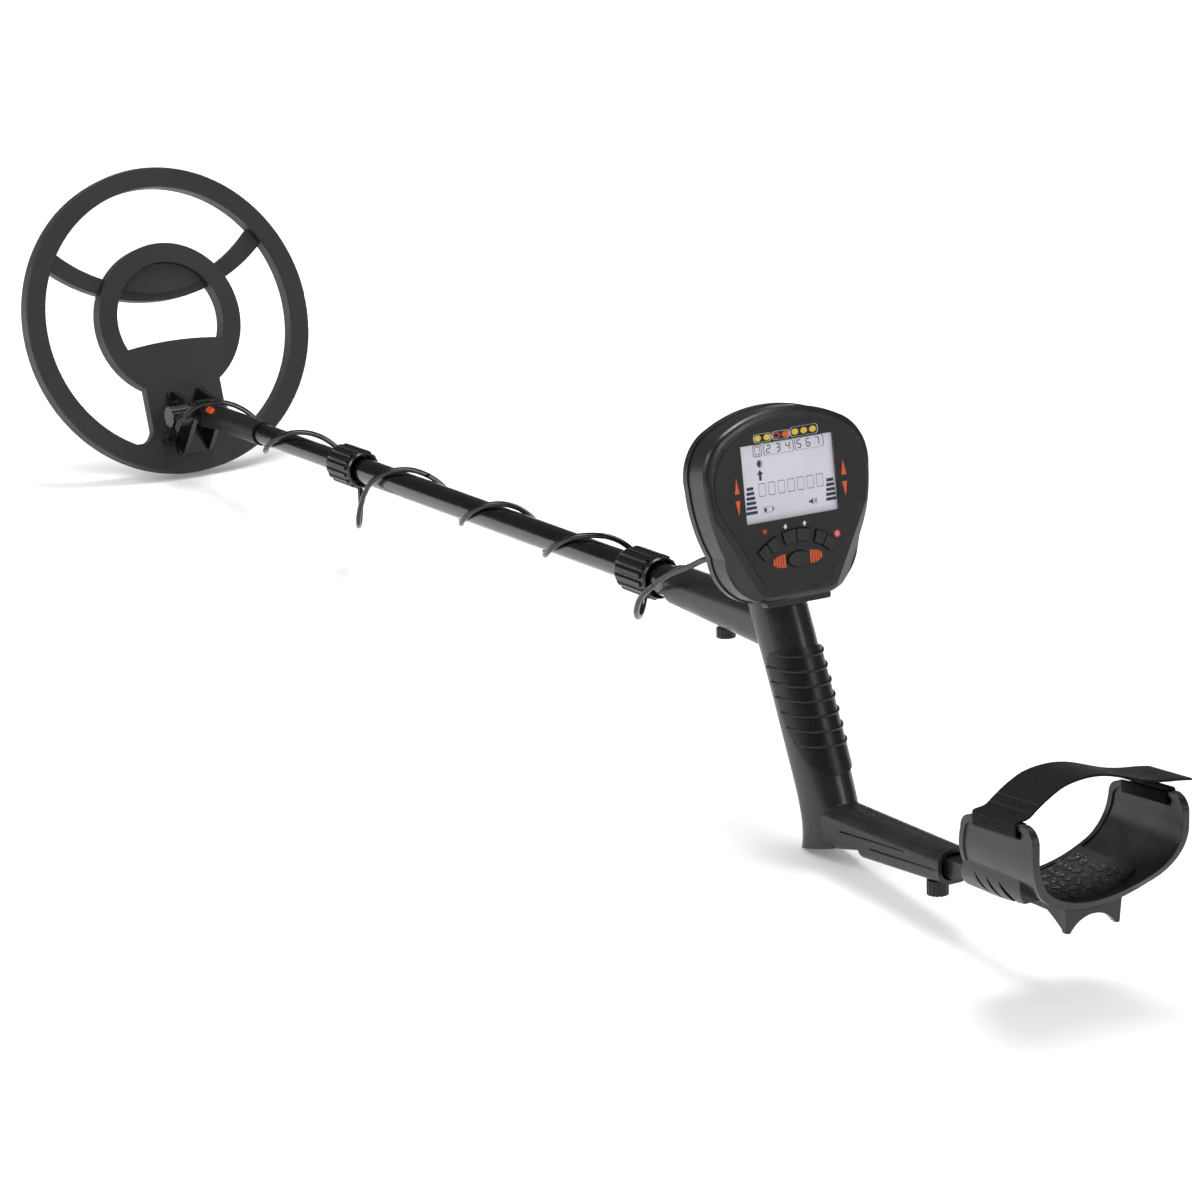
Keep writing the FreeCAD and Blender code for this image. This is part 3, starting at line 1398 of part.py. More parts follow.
def make_cables():
    """The coil's cable, in four stretches that meet on the stem's moving rods."""
    gland = coil_point(GLAND_AT[0], GLAND_AT[1], 6.05)
    ahead = coil_point(GLAND_AT[0], GLAND_AT[1], 14.0)
    points = [gland, ahead, V(-577.0, -25.0, -13.5), V(-568.5, -28.5, -7.0), V(-562.0, -27.5, 2.0)]
    points += [V(-557.5, -20.0, 9.5), V(-553.0, -11.0, 13.5)]
    points += wrap(CABLE_STOPS, 13.0)
    points += [V(120.0, -21.2, 8.6), V(138.0, -21.4, 17.8), V(158.0, -21.9, 25.4), V(179.0, -22.8, 35.8)]
    back = size("box_front_depth") + size("box_back_depth")
    points.append(box_point(PORT_AT[0], PORT_AT[1], -back - 24.1))
    for name, place in CABLE_CUTS:
        last = max(index for index, point in enumerate(points[:-1]) if point.x < place)
        middle = (points[last] + points[last + 1]) * 0.5
        make_cable(name, points[: last + 1] + [middle])
        points = [middle] + points[last + 1 :]
    make_cable("cable_box_lead", points)


# ---- assembly -----------------------------------------------------------------------------


def build():
    make_coil_top_shell()
    make_coil_bottom_cover()
    make_winding("transmit_winding", "Sizes.coil_radius - Sizes.coil_ring_width / 2", 3.0)
    make_winding("receive_winding", "Sizes.coil_hub_radius - Sizes.coil_hub_width / 2", 2.8)
    make_coil_gland()
    make_hinge_bracket()
    make_hinge_bolt()
    make_hinge_knob()
    make_hinge_washers()
    make_rod_end()
    make_rod_end_marker()
    make_rods()
    lower, middle, upper = size("lower_rod_radius"), size("middle_rod_radius"), size("upper_rod_radius")
    make_lock_nut("lower", lower, middle)
    make_lock_parts("lower", lower, middle, size("middle_rod_start"))
    make_lock_nut("upper", middle, upper)
    make_lock_parts("upper", middle, upper, size("upper_rod_start"))
    make_handle_half("handle_left_half", 1)
    make_handle_half("handle_right_half", -1)
    make_grip_sleeve()
    make_clamp_knob("front_clamp_knob", FRONT_KNOB_X, -17.4, -11.1, 6.5, 6.6)
    make_clamp_knob("rear_clamp_knob", REAR_KNOB_X, -129.4, -122.1, 7.0, 9.6)
    make_handle_screws()
    make_box_front_shell()
    make_box_rear_shell()
    make_face_panel()
    make_screen()
    make_keys()
    make_key_dome()
    make_circuit_board()
    make_batteries()
    make_battery_contacts()
    make_battery_door()
    make_speaker()
    make_headphone_jack()
    make_cable_socket()
    make_cable_plug()
    make_box_screws()
    make_cuff_stalk()
    make_arm_cuff()
    make_cuff_pad()
    make_cuff_screws()
    make_stand()
    make_arm_strap()
    make_cables()


def stand_on_origin():
    """Moves the whole object so that the origin is under its middle, on the floor."""
    document.recompute()
    whole = FreeCAD.BoundBox()
    for item in subparts:
        if item.Label not in CABLES:
            whole.add(item.Shape.optimalBoundingBox(False, False))
    shift = V(-(whole.XMin + whole.XMax) / 2, 0, -whole.ZMin)
    for item in subparts:
        item.Placement = turned(shift).multiply(item.Placement)
    print(f"size {whole.XLength:.1f} x {whole.YLength:.1f} x {whole.ZLength:.1f}, moved {shift}")
    return shift


def check_and_write():
    document.recompute()
    faults = [item.Name for item in document.Objects if {"Invalid", "Error"} & set(item.State)]
    for item in subparts:
        if item.Shape.isNull() or not item.Shape.isValid():
            faults.append(f"{item.Label}: bad shape")
    if faults:
        raise RuntimeError("not written, faults in: " + ", ".join(faults))
    os.makedirs("parts", exist_ok=True)
    for item in subparts:
        item.Shape.exportStep(f"parts/{item.Label}.step")
    print(f"{len(subparts)} sub-parts written, pitch {PITCH:.2f} degrees")


build()
SHIFT = stand_on_origin()
check_and_write()
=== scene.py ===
import json
import math

import bpy
from mathutils import Matrix, Vector


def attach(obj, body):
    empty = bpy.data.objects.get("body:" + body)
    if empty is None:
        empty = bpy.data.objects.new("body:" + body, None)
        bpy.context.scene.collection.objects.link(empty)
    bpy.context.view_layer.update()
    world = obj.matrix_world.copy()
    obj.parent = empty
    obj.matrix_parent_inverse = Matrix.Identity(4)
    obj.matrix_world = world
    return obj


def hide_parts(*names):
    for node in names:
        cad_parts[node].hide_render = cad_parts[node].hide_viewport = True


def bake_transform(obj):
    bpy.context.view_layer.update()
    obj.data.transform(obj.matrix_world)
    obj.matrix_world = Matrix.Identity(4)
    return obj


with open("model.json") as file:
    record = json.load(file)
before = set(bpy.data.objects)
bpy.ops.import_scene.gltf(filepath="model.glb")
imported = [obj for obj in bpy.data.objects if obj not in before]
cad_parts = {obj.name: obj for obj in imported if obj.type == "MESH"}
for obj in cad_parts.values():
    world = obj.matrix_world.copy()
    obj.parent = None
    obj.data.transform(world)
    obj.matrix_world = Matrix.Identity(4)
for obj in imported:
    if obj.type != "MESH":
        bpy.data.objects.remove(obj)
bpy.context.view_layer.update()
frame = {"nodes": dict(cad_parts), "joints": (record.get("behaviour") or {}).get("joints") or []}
nodes = frame["nodes"]
joints = {joint["name"]: joint for joint in frame["joints"]}

# ---- Camera ------------------------------------------------------------------------------
# A long lens from behind the user's right shoulder. It is placed in the stem's own frame: X
# along the tubes towards the user, Z square to them, origin on their axis. HINGE is the
# coil's hinge in that frame. The three angles, in degrees, turn the camera about Z, Y and X.
HINGE = Vector((-0.577997, 0.0, -0.000024))
CAMERA_PLACE = (2.50155, -1.54937, 0.74031)
CAMERA_HEADING = 57.735
CAMERA_LEAN = 1.469
CAMERA_TILT = 75.256

along = Vector(joints["middle_slide"]["axis"]).normalized()
stem = Matrix.Rotation(-math.atan2(along.z, along.x), 4, "Y")
stem = Matrix.Translation(Vector(joints["coil_tilt"]["pos_m"]) - stem @ HINGE) @ stem

camera_data = bpy.data.cameras.new("camera")
camera_data.sensor_width = 36.0
camera_data.lens = 132.59
camera = bpy.data.objects.new("camera", camera_data)
bpy.context.scene.collection.objects.link(camera)
place = Matrix.Translation(CAMERA_PLACE)
turn = Matrix.Rotation(math.radians(CAMERA_HEADING), 4, "Z")
turn = turn @ Matrix.Rotation(math.radians(CAMERA_LEAN), 4, "Y")
camera.matrix_world = stem @ place @ turn @ Matrix.Rotation(math.radians(CAMERA_TILT), 4, "X")
bpy.context.scene.camera = camera

# ---- Coil cable --------------------------------------------------------------------------
# A 4 mm black lead in soft PVC. It leaves the coil through a bush and winds nearly five
# times round the stem, with a slack loop under each lock nut, up to its plug in the box.
WIRE = 0.004


def new_group(name, inputs, outputs):
    """A shader node group with its input and output nodes."""
    group = bpy.data.node_groups.new(name, "ShaderNodeTree")
    for label, kind, default in inputs:
        group.interface.new_socket(name=label, in_out="INPUT", socket_type=kind).default_value = default
    for label, kind in outputs:
        group.interface.new_socket(name=label, in_out="OUTPUT", socket_type=kind)
    return group, group.nodes.new("NodeGroupInput"), group.nodes.new("NodeGroupOutput")


def moulded_surface():
    """Spark-eroded grain, faint handling marks and slight changes of shade of a moulded part."""
    inputs = [
        ("Colour", "NodeSocketColor", (0.05, 0.05, 0.05, 1)),
        ("Grain", "NodeSocketFloat", 2400.0),
        ("Gloss", "NodeSocketFloat", 0.4),
    ]
    outputs = [("Colour", "NodeSocketColor"), ("Roughness", "NodeSocketFloat"), ("Height", "NodeSocketFloat")]
    group, source, sink = new_group("moulded_surface", inputs, outputs)
    link = group.links.new
    place = group.nodes.new("ShaderNodeTexCoord")

    def noise(scale, detail):
        node = group.nodes.new("ShaderNodeTexNoise")
        node.inputs["Scale"].default_value = scale
        node.inputs["Detail"].default_value = detail
        link(place.outputs["Object"], node.inputs["Vector"])
        return node

    def spread(node, low, high, to_low, to_high):
        scale = group.nodes.new("ShaderNodeMapRange")
        for label, value in (("From Min", low), ("From Max", high), ("To Min", to_low), ("To Max", to_high)):
            scale.inputs[label].default_value = value
        link(node.outputs["Fac"], scale.inputs["Value"])
        return scale.outputs["Result"]

    grain = noise(2400.0, 3.0)
    link(source.outputs["Grain"], grain.inputs["Scale"])
    tint = group.nodes.new("ShaderNodeVectorMath")
    tint.operation = "SCALE"
    link(source.outputs["Colour"], tint.inputs[0])
    link(spread(noise(14.0, 4.0), 0.25, 0.75, 0.85, 1.18), tint.inputs["Scale"])
    link(tint.outputs["Vector"], sink.inputs["Colour"])
    rough = group.nodes.new("ShaderNodeMath")
    link(spread(noise(60.0, 6.0), 0.3, 0.7, -0.05, 0.07), rough.inputs[0])
    link(source.outputs["Gloss"], rough.inputs[1])
    link(rough.outputs["Value"], sink.inputs["Roughness"])
    link(grain.outputs["Fac"], sink.inputs["Height"])
    return group


MOULDED = moulded_surface()


def plastic(name, colour, gloss=0.42, grain=2400.0, depth=0.00006, edge=0.0005, shine=0.5, **shader_values):
    """A moulded or coated surface in one colour. edge is the radius that its mould leaves on edges."""
    material = bpy.data.materials.new(name)
    material.use_nodes = True
    tree = material.node_tree
    shader = tree.nodes["Principled BSDF"]
    surface = tree.nodes.new("ShaderNodeGroup")
    surface.node_tree = MOULDED
    surface.inputs["Colour"].default_value = (*colour, 1)
    surface.inputs["Grain"].default_value = grain
    surface.inputs["Gloss"].default_value = gloss
    bump = tree.nodes.new("ShaderNodeBump")
    bump.name = "grain"
    bump.inputs["Distance"].default_value = depth
    bump.inputs["Strength"].default_value = 0.6
    if edge:
        bevel = tree.nodes.new("ShaderNodeBevel")
        bevel.samples = 4
        bevel.inputs["Radius"].default_value = edge
        tree.links.new(bevel.outputs["Normal"], bump.inputs["Normal"])
    tree.links.new(surface.outputs["Height"], bump.inputs["Height"])
    tree.links.new(surface.outputs["Colour"], shader.inputs["Base Color"])
    tree.links.new(surface.outputs["Roughness"], shader.inputs["Roughness"])
    tree.links.new(bump.outputs["Normal"], shader.inputs["Normal"])
    shader.inputs["Specular IOR Level"].default_value = shine
    for label, value in shader_values.items():
        shader.inputs[label.replace("_", " ").title()].default_value = value
    material.diffuse_color = (*colour, 1)
    return material


def finish_nodes(material, *names):
    """Gives CAD nodes their material."""
    for name in names:
        slots = nodes[name].data.materials
        slots.clear()
        slots.append(material)


cable_skin = plastic("cable_skin", (0.0035, 0.0035, 0.0037), gloss=0.24, grain=900.0, depth=0.00002, edge=0)


def beside_stem(x, turn, radius):
    """A point beside the stem, in mm. turn is 0 under it, 90 on its near side and 180 on top."""
    angle = math.radians(turn)
    return (x, -radius * math.sin(angle), -radius * math.cos(angle))


def wound(stops, spacing):
    """Points of a winding through (x, turn, radius) stops, about one spacing apart."""
    points = []
    for (x0, turn0, radius0), (x1, turn1, radius1) in zip(stops, stops[1:]):
        round_it = math.radians(turn1 - turn0) * (radius0 + radius1) / 2
        steps = max(2, round(math.hypot(x1 - x0, round_it) / spacing))
        for step in range(steps):
            share = step / steps
            place = (x0 + (x1 - x0) * share, turn0 + (turn1 - turn0) * share)
            points.append(beside_stem(*place, radius0 + (radius1 - radius0) * share))
    return points + [beside_stem(*stops[-1])]


# Along the stem in mm, turned round it in degrees, and away from its axis in mm.
WINDING = [
    (-546.0, 180.0, 13.9),
    (-518.0, 242.0, 13.4),
    (-473.0, 360.0, 12.6),
    (-413.0, 540.0, 12.6),
    (-385.0, 612.0, 14.0),
    (-368.0, 652.0, 20.0),
    (-354.0, 692.0, 34.0),
    (-344.5, 706.0, 41.5),
    (-329.0, 720.0, 45.5),
    (-315.5, 731.0, 40.0),
    (-306.0, 743.0, 30.0),
    (-299.0, 755.0, 22.5),
    (-291.0, 777.0, 17.0),
    (-276.0, 826.0, 13.6),
    (-252.0, 900.0, 13.0),
    (-175.0, 1080.0, 12.8),
    (-117.0, 1260.0, 12.8),
    (-61.0, 1440.0, 12.8),
    (3.0, 1620.0, 13.0),
    (22.0, 1678.0, 16.5),
    (36.0, 1742.0, 24.0),
    (48.0, 1778.0, 30.5),
    (60.0, 1800.0, 33.0),
    (73.0, 1820.0, 29.5),
    (85.0, 1845.0, 24.5),
    (96.0, 1870.0, 21.8),
    (107.0, 1890.0, 21.0),
]
WINDING_SPACING = 13.0
COIL_CENTRE = (-0.6279, 0, 0.0675)
COIL_SLOPE = 71.9
SCREEN_CENTRE = (0.2431, 0, 0.0972)
SCREEN_SLOPE = -7.6
coil = stem @ Matrix.Translation(COIL_CENTRE) @ Matrix.Rotation(math.radians(COIL_SLOPE), 4, "Y")
box = stem @ Matrix.Translation(SCREEN_CENTRE) @ Matrix.Rotation(math.radians(SCREEN_SLOPE), 4, "Y")
box = box @ Matrix(((0, 0, 1, 0), (1, 0, 0, 0), (0, 1, 0, 0), (0, 0, 0, 1)))

# The ends in the coil's and the box's own frames in metres, the rest in the stem's in mm.
GLAND = (0.0953, -0.0225)
SOCKET = (-0.023, -0.052, -0.0591)
lead = [coil @ Vector((*GLAND, 0.00605)), coil @ Vector((*GLAND, 0.014))]
bend_round_hinge = [
    (-577.0, -25.0, -13.5),
    (-568.5, -28.5, -7.0),
    (-562.0, -27.5, 2.0),
    (-557.5, -20.0, 9.5),
    (-553.0, -11.0, 13.5),
]
rise_to_box = [(120.0, -21.2, 8.6), (138.0, -21.4, 17.8), (158.0, -21.9, 25.4), (179.0, -22.8, 35.8)]
run = [Vector(point) / 1000 for point in bend_round_hinge + wound(WINDING, WINDING_SPACING) + rise_to_box]
route = lead + [stem @ point for point in run] + [box @ Vector(SOCKET)]


def nurbs_line(points):
    """The smooth line that has these points as its control points, as a dense list of points."""
    curve = bpy.data.curves.new("line", "CURVE")
    curve.dimensions = "3D"
    spline = curve.splines.new("NURBS")
    spline.points.add(len(points) - 1)
    for control, point in zip(spline.points, points):
        control.co = (*point, 1)
    spline.order_u = 3
    spline.use_endpoint_u = True
    curve.resolution_u = 8
    holder = bpy.data.objects.new("line", curve)
    bpy.context.scene.collection.objects.link(holder)
    shape = bpy.data.meshes.new_from_object(holder.evaluated_get(bpy.context.evaluated_depsgraph_get()))
    line = [vertex.co.copy() for vertex in shape.vertices]
    bpy.data.objects.remove(holder)
    bpy.data.meshes.remove(shape)
    return line


def new_piece(name, vertices, faces, material, smooth=True):
    mesh = bpy.data.meshes.new(name)
    mesh.from_pydata([tuple(v) for v in vertices], [], faces)
    mesh.materials.append(material)
    for polygon in mesh.polygons:
        polygon.use_smooth = smooth
    mesh.update()
    piece = bpy.data.objects.new(name, mesh)
    bpy.context.scene.collection.objects.link(piece)
    return piece


def sweep(name, line, radius, material, sides=14):
    """A closed round tube along a dense line of points, with its ring turned as little as possible."""
    vertices = []
    faces = []
    side = None
    for index, point in enumerate(line):
        ahead = line[min(index + 1, len(line) - 1)] - line[max(index - 1, 0)]
        ahead.normalize()
        if side is None:
            side = ahead.orthogonal().normalized()
        side = (side - ahead * side.dot(ahead)).normalized()
        up = ahead.cross(side)
        for step in range(sides):
            angle = 2 * math.pi * step / sides
            vertices.append(point + (side * math.cos(angle) + up * math.sin(angle)) * radius)
    for index in range(len(line) - 1):
        for step in range(sides):
            a = index * sides + step
            b = index * sides + (step + 1) % sides
            faces.append((a, b, b + sides, a + sides))
    faces.append(tuple(range(sides - 1, -1, -1)))
    last = (len(line) - 1) * sides
    faces.append(tuple(range(last, last + sides)))
    return new_piece(name, vertices, faces, material)


whole_line = nurbs_line(route)


def junction(place):
    """Where the cable crosses from one rod to the next: halfway between two of its points."""
    last = max(index for index, point in enumerate(run[:-1]) if point.x < place)
    return (run[last].x + run[last + 1].x) / 2


CUT_SLACK = 0.00005


def cut_line(line, place):
    """Splits a line at its first point that is as far along the stem as this place."""
    into_stem = stem.inverted()
    index = next(index for index, point in enumerate(line) if (into_stem @ point).x > place - CUT_SLACK)
    return line[: index + 1], line[index:]


# Each stretch with the CAD node it replaces, the place it ends at, the two bodies it joins and
# the part of the stem where it passes from one to the other. All places are in metres.
CABLE_STRETCHES = [
    ("lead", "cable_coil_lead", -0.478, ("coil", "lower_stem"), (-0.585, -0.540)),
    ("lower", "cable_lower_turn", -0.232, ("lower_stem", "middle_stem"), (-0.476, -0.352)),
    ("middle", "cable_middle_turn", 0.110, ("middle_stem", "handle"), (-0.055, 0.045)),
    ("box", "cable_box_lead", None, None, None),
]
rest_of_line = whole_line
for label, node, place, pair, bend in CABLE_STRETCHES:
    if place is None:
        line = rest_of_line
    else:
        line, rest_of_line = cut_line(rest_of_line, junction(place))
    cable = sweep("cable_" + label, line, WIRE / 2, cable_skin)
    if pair:
        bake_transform(cable)
    else:
        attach(cable, "handle")
    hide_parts(node)

# ---- Search coil -------------------------------------------------------------------------
# Two moulded shells of glass-filled ABS, glued round the windings: an open outer ring, an
# inner ring with a flush plate, and a neck that carries the hinge.
black_plastic = plastic("black_plastic", (0.011, 0.011, 0.0115), gloss=0.4, shine=0.4)
coil_plastic = plastic(
    "coil_plastic", (0.026, 0.026, 0.0265), gloss=0.46, grain=1900.0, depth=0.00009, shine=0.35
)
soft_rubber = plastic(
    "soft_rubber", (0.0085, 0.0085, 0.0087), gloss=0.34, grain=1300.0, depth=0.00006, shine=0.42
)
copper = plastic("enamelled_copper", (0.55, 0.2, 0.07), gloss=0.3, edge=0, metallic=1.0)
finish_nodes(coil_plastic, "coil_top_shell", "coil_bottom_cover")
finish_nodes(soft_rubber, "coil_cable_gland")
finish_nodes(copper, "transmit_winding", "receive_winding")

# ---- Hinge -------------------------------------------------------------------------------
# A bracket with two ears holds the tongue of the rod end between rubber washers. A plated
# bolt goes through, and a moulded thumb knob on its near end squeezes the ears.
steel = plastic("plated_steel", (0.55, 0.55, 0.56), gloss=0.28, metallic=1.0)
nut_plastic = plastic("nut_plastic", (0.007, 0.007, 0.0075), gloss=0.27, edge=0.0007)
finish_nodes(nut_plastic, "hinge_bracket", "hinge_knob")
finish_nodes(steel, "hinge_bolt")
finish_nodes(soft_rubber, "hinge_washers")

# ---- Stem --------------------------------------------------------------------------------
# Three drawn tubes with a smooth black coating slide in each other. The moulded rod end has
# a coloured plug set in it.
tube_coat = plastic(
    "tube_coat", (0.002, 0.002, 0.0022), gloss=0.24, grain=1500.0, depth=0.000004,
    coat_weight=0.6, coat_roughness=0.1,
)
orange = plastic("orange_plastic", (0.7, 0.1, 0.01), gloss=0.35)
finish_nodes(tube_coat, "lower_rod", "middle_rod", "upper_rod")
finish_nodes(black_plastic, "rod_end")
finish_nodes(orange, "rod_end_marker")

# ---- Lock nuts ---------------------------------------------------------------------------
# Each twist-lock nut is moulded with deep grip ribs. It squeezes a split collet on the inner
# rod and runs on a threaded sleeve that is glued to the outer one.
for side in ("lower", "upper"):
    finish_nodes(nut_plastic, side + "_lock_nut", side + "_lock_sleeve", side + "_collet")

# ---- Handle ------------------------------------------------------------------------------
# Two moulded halves, screwed together from the far side, with a ribbed rubber sleeve on the
# grip and a thumb screw at each end that clamps the rod and the cuff's bar.
handle_plastic = plastic(
    "handle_plastic", (0.0155, 0.0155, 0.016), gloss=0.28, grain=2000.0, depth=0.00004, edge=0.0008
)
finish_nodes(handle_plastic, "handle_left_half", "handle_right_half")
finish_nodes(soft_rubber, "grip_sleeve")
finish_nodes(nut_plastic, "front_clamp_knob", "rear_clamp_knob")
finish_nodes(steel, "handle_screws")

# ---- Control box -------------------------------------------------------------------------
# Front and rear shells meet at a seam. A printed overlay lies on the front, with openings
# for the window and the keys. The door behind covers two nine-volt batteries.
overlay = plastic(
    "printed_overlay", (0.0185, 0.0185, 0.019), gloss=0.45, grain=3200.0, depth=0.00003, shine=0.3
)
key_rubber = plastic("key_rubber", (0.009, 0.009, 0.0095), gloss=0.42, edge=0.0008)
key_mat_rubber = plastic("key_mat_rubber", (0.002, 0.002, 0.002), gloss=0.6, edge=0, shine=0.1)
board = plastic("board_green", (0.02, 0.12, 0.05), gloss=0.4)
battery = plastic("battery_case", (0.2, 0.2, 0.21), gloss=0.3)
finish_nodes(handle_plastic, "box_front_shell", "box_rear_shell", "battery_door")
finish_nodes(handle_plastic, "cable_socket", "cable_plug", "headphone_jack", "speaker")
finish_nodes(overlay, "face_panel")
for key in ("set", "mode", "down", "up", "enter", "power", "pinpoint"):
    finish_nodes(key_rubber, "key_" + key)
finish_nodes(key_mat_rubber, "key_mat")
finish_nodes(board, "circuit_board")
finish_nodes(battery, "batteries")
finish_nodes(steel, "battery_contacts", "box_screws")

# ---- Display -----------------------------------------------------------------------------
# A pale, unlit liquid-crystal module behind a clear hard-coated window. Its segments are dark blue. A faint
# emission paints a glow on it.
crystal = plastic("pale_display_painted_glow", (0.66, 0.66, 0.71), gloss=0.35, edge=0)
crystal_shader = crystal.node_tree.nodes["Principled BSDF"]
# Painted glow: the module has no backlight, but it emits a little light so that its face looks brighter.
crystal_shader.inputs["Emission Color"].default_value = (0.9, 0.9, 1.0, 1)
crystal_shader.inputs["Emission Strength"].default_value = 0.14
clear = plastic("clear_window", (0.3, 0.3, 0.35), gloss=0.06, depth=0.000002, edge=0, alpha=0.05)
finish_nodes(crystal, "display_module")
finish_nodes(clear, "screen_window")


def disc(x, y, radius_x, radius_y=None, steps=28):
    """A round or oval spot."""
    radius_y = radius_y or radius_x
    angles = [2 * math.pi * step / steps for step in range(steps)]
    return [(x + radius_x * math.cos(a), y + radius_y * math.sin(a)) for a in angles]


def bar(x, y, width, height):
    """A level rectangle with its middle at x, y."""
    left, right = x - width / 2, x + width / 2
    low, high = y - height / 2, y + height / 2
    return [(left, low), (right, low), (right, high), (left, high)]


def outline(points, width):
    """A closed line of this width along the points, as one four-sided patch for each side."""
    centre_x = sum(p[0] for p in points) / len(points)
    centre_y = sum(p[1] for p in points) / len(points)
    span = max(math.dist(p, (centre_x, centre_y)) for p in points)
    inner = [(x + (centre_x - x) * width / span, y + (centre_y - y) * width / span) for x, y in points]
    patches = []
    for index in range(len(points)):
        after = (index + 1) % len(points)
        patches.append([points[index], points[after], inner[after], inner[index]])
    return patches


# Each segment's place in the numeral, across and up, and whether it lies level.
SEGMENTS = {
    "a": (0.0, 1.0, True),
    "b": (0.5, 0.5, False),
    "c": (0.5, -0.5, False),
    "d": (0.0, -1.0, True),
    "e": (-0.5, -0.5, False),
    "f": (-0.5, 0.5, False),
    "g": (0.0, 0.0, True),
}
DIGITS = {"2": "abged", "3": "abgcd", "4": "fgbc", "5": "afgcd", "6": "afgedc", "7": "abc"}


def digit(character, x, y, height):
    """A seven-segment numeral."""
    shapes = []
    for segment in DIGITS[character]:
        across, up, level = SEGMENTS[segment]
        place_x = x + across * height * 0.52
        place_y = y + up * height * 0.46
        thin = height * 0.13
        size = (height * 0.42, thin) if level else (thin, height * 0.38)
        shapes.append(bar(place_x, place_y, *size))
    return shapes


def printed(name, shapes, lift, material):
    """Flat shapes in the box's own frame, in mm, printed at this height."""
    vertices = []
    faces = []
    for shape in shapes:
        area = sum(x0 * y1 - x1 * y0 for (x0, y0), (x1, y1) in zip(shape, shape[1:] + shape[:1]))
        ordered = shape if area > 0 else shape[::-1]
        faces.append(tuple(range(len(vertices), len(vertices) + len(ordered))))
        vertices += [box @ Vector((x / 1000, y / 1000, lift / 1000)) for x, y in ordered]
    piece = new_piece(name, vertices, faces, material, smooth=False)
    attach(piece, "handle")
    return piece


def rounded(x0, y0, x1, y1, corner):
    """A rectangle with round corners."""
    points = []
    for centre_x, centre_y, start in ((x1, y1, 0), (x0, y1, 90), (x0, y0, 180), (x1, y0, 270)):
        for step in range(5):
            angle = math.radians(start + step * 22.5)
            sign_x = 1 if centre_x == x1 else -1
            sign_y = 1 if centre_y == y1 else -1
            middle = (centre_x - sign_x * corner, centre_y - sign_y * corner)
            points.append((middle[0] + corner * math.cos(angle), middle[1] + corner * math.sin(angle)))
    return points


# The marks are laid out in mm from the middle of the screen, and so are those on the overlay.
ink_blue = plastic("display_ink", (0.006, 0.008, 0.045), gloss=0.4, edge=0)
INK_HEIGHT = -2.55
SIGNAL_DIGITS = [("2", -13.0), ("3", -5.4), ("4", 2.0), ("5", 10.7), ("6", 17.7), ("7", 24.6)]
segments = []
for character, x in SIGNAL_DIGITS:
    segments += digit(character, x, 20.6, 5.3)
for left, right in ((-24.9, -18.0), (-16.6, 6.4), (7.4, 29.6)):
    segments += outline(rounded(left, 16.6, right, 24.4, 1.4), 0.5)
segments += outline(rounded(-23.6, 17.8, -19.3, 23.2, 1.0), 0.5)
for index in range(7):
    x = -20.3 + index * 7.4
    segments += outline(rounded(x - 2.6, -8.9, x + 2.6, -0.5, 0.8), 0.4)
for index in range(6):
    segments.append(bar(-29.5, -2.8 - index * 3.08, 5.1 + index * 0.72, 2.0))
for index in range(5):
    segments.append(bar(31.8, -5.5 - index * 3.08, 5.5 + index * 0.6, 2.0))
segments.append(disc(-20.9, 12.1, 1.5, 1.9))
segments += outline(disc(-20.5, 12.1, 2.1, 2.5), 0.4)
segments += [[(-23.4, 5.2), (-18.4, 5.2), (-20.9, 8.2)], bar(-20.9, 3.3, 1.9, 3.8)]
segments += outline(rounded(-20.4, -19.6, -13.4, -15.8, 0.5), 0.4)
segments += [bar(-19.0, -17.7, 1.6, 2.4), bar(-13.0, -17.7, 0.8, 1.6)]
segments += [bar(15.2, -17.3, 1.2, 1.6), [(15.9, -18.0), (17.6, -19.4), (17.6, -15.2), (15.9, -16.6)]]
segments += [bar(18.6 + step * 0.9, -17.3, 0.35, 2.2 + step * 0.8) for step in range(3)]
printed("display_marks", segments, INK_HEIGHT, ink_blue)

# ---- Printed marks on the overlay --------------------------------------------------------
# Screen-printed inks: signal discs over the screen, scales beside it and plain icons by the
# keys. The overlay has no lettering.
ink_white = plastic("white_ink", (0.75, 0.75, 0.76), gloss=0.4, edge=0)
ink_orange = plastic("orange_ink", (0.7, 0.09, 0.008), gloss=0.4, edge=0)
ink_yellow = plastic("yellow_ink", (0.72, 0.5, 0.04), gloss=0.4, edge=0)
ink_red = plastic("red_ink", (0.6, 0.03, 0.045), gloss=0.4, edge=0)
PRINT_HEIGHT = 0.53
SECOND_INK = 0.02
white_marks = []
for box_mark in ((-25.7, 25.9, -11.8, 31.4), (-11.4, 25.9, 2.0, 31.4), (2.5, 26.0, 24.0, 32.3)):
    white_marks += outline(rounded(*box_mark, 2.2), 0.4)
for side in (-1, 1):
    x = side * 7.4
    white_marks.append([(x - 1.7, -30.0), (x + 1.7, -30.0), (x, -30.0 + side * 1.7)])
    white_marks.append(bar(x, -30.0 - side * 0.7, 1.5, 1.4))
white_marks += outline(disc(31.8, -40.2, 1.2), 0.35)
printed("overlay_marks_white", white_marks, PRINT_HEIGHT + SECOND_INK, ink_white)
orange_marks = [
    [(-43.2, -4.3), (-39.6, -4.3), (-41.3, 5.6)],
    [(-43.2, -8.6), (-39.6, -8.6), (-41.3, -18.4)],
    [(39.1, -3.4), (42.9, -3.4), (40.9, 6.5)],
    [(39.1, -7.7), (42.9, -7.7), (41.2, -17.3)],
    disc(-1.0, 28.6, 2.7, 2.0),
    disc(-23.3, -30.9, 1.0),
]
orange_marks += outline(disc(-8.0, 28.6, 2.6, 1.9), 0.7)
for step in range(8):
    angle = math.pi * step / 4
    orange_marks.append(disc(-23.3 + 1.9 * math.cos(angle), -30.9 + 1.9 * math.sin(angle), 0.3, steps=8))
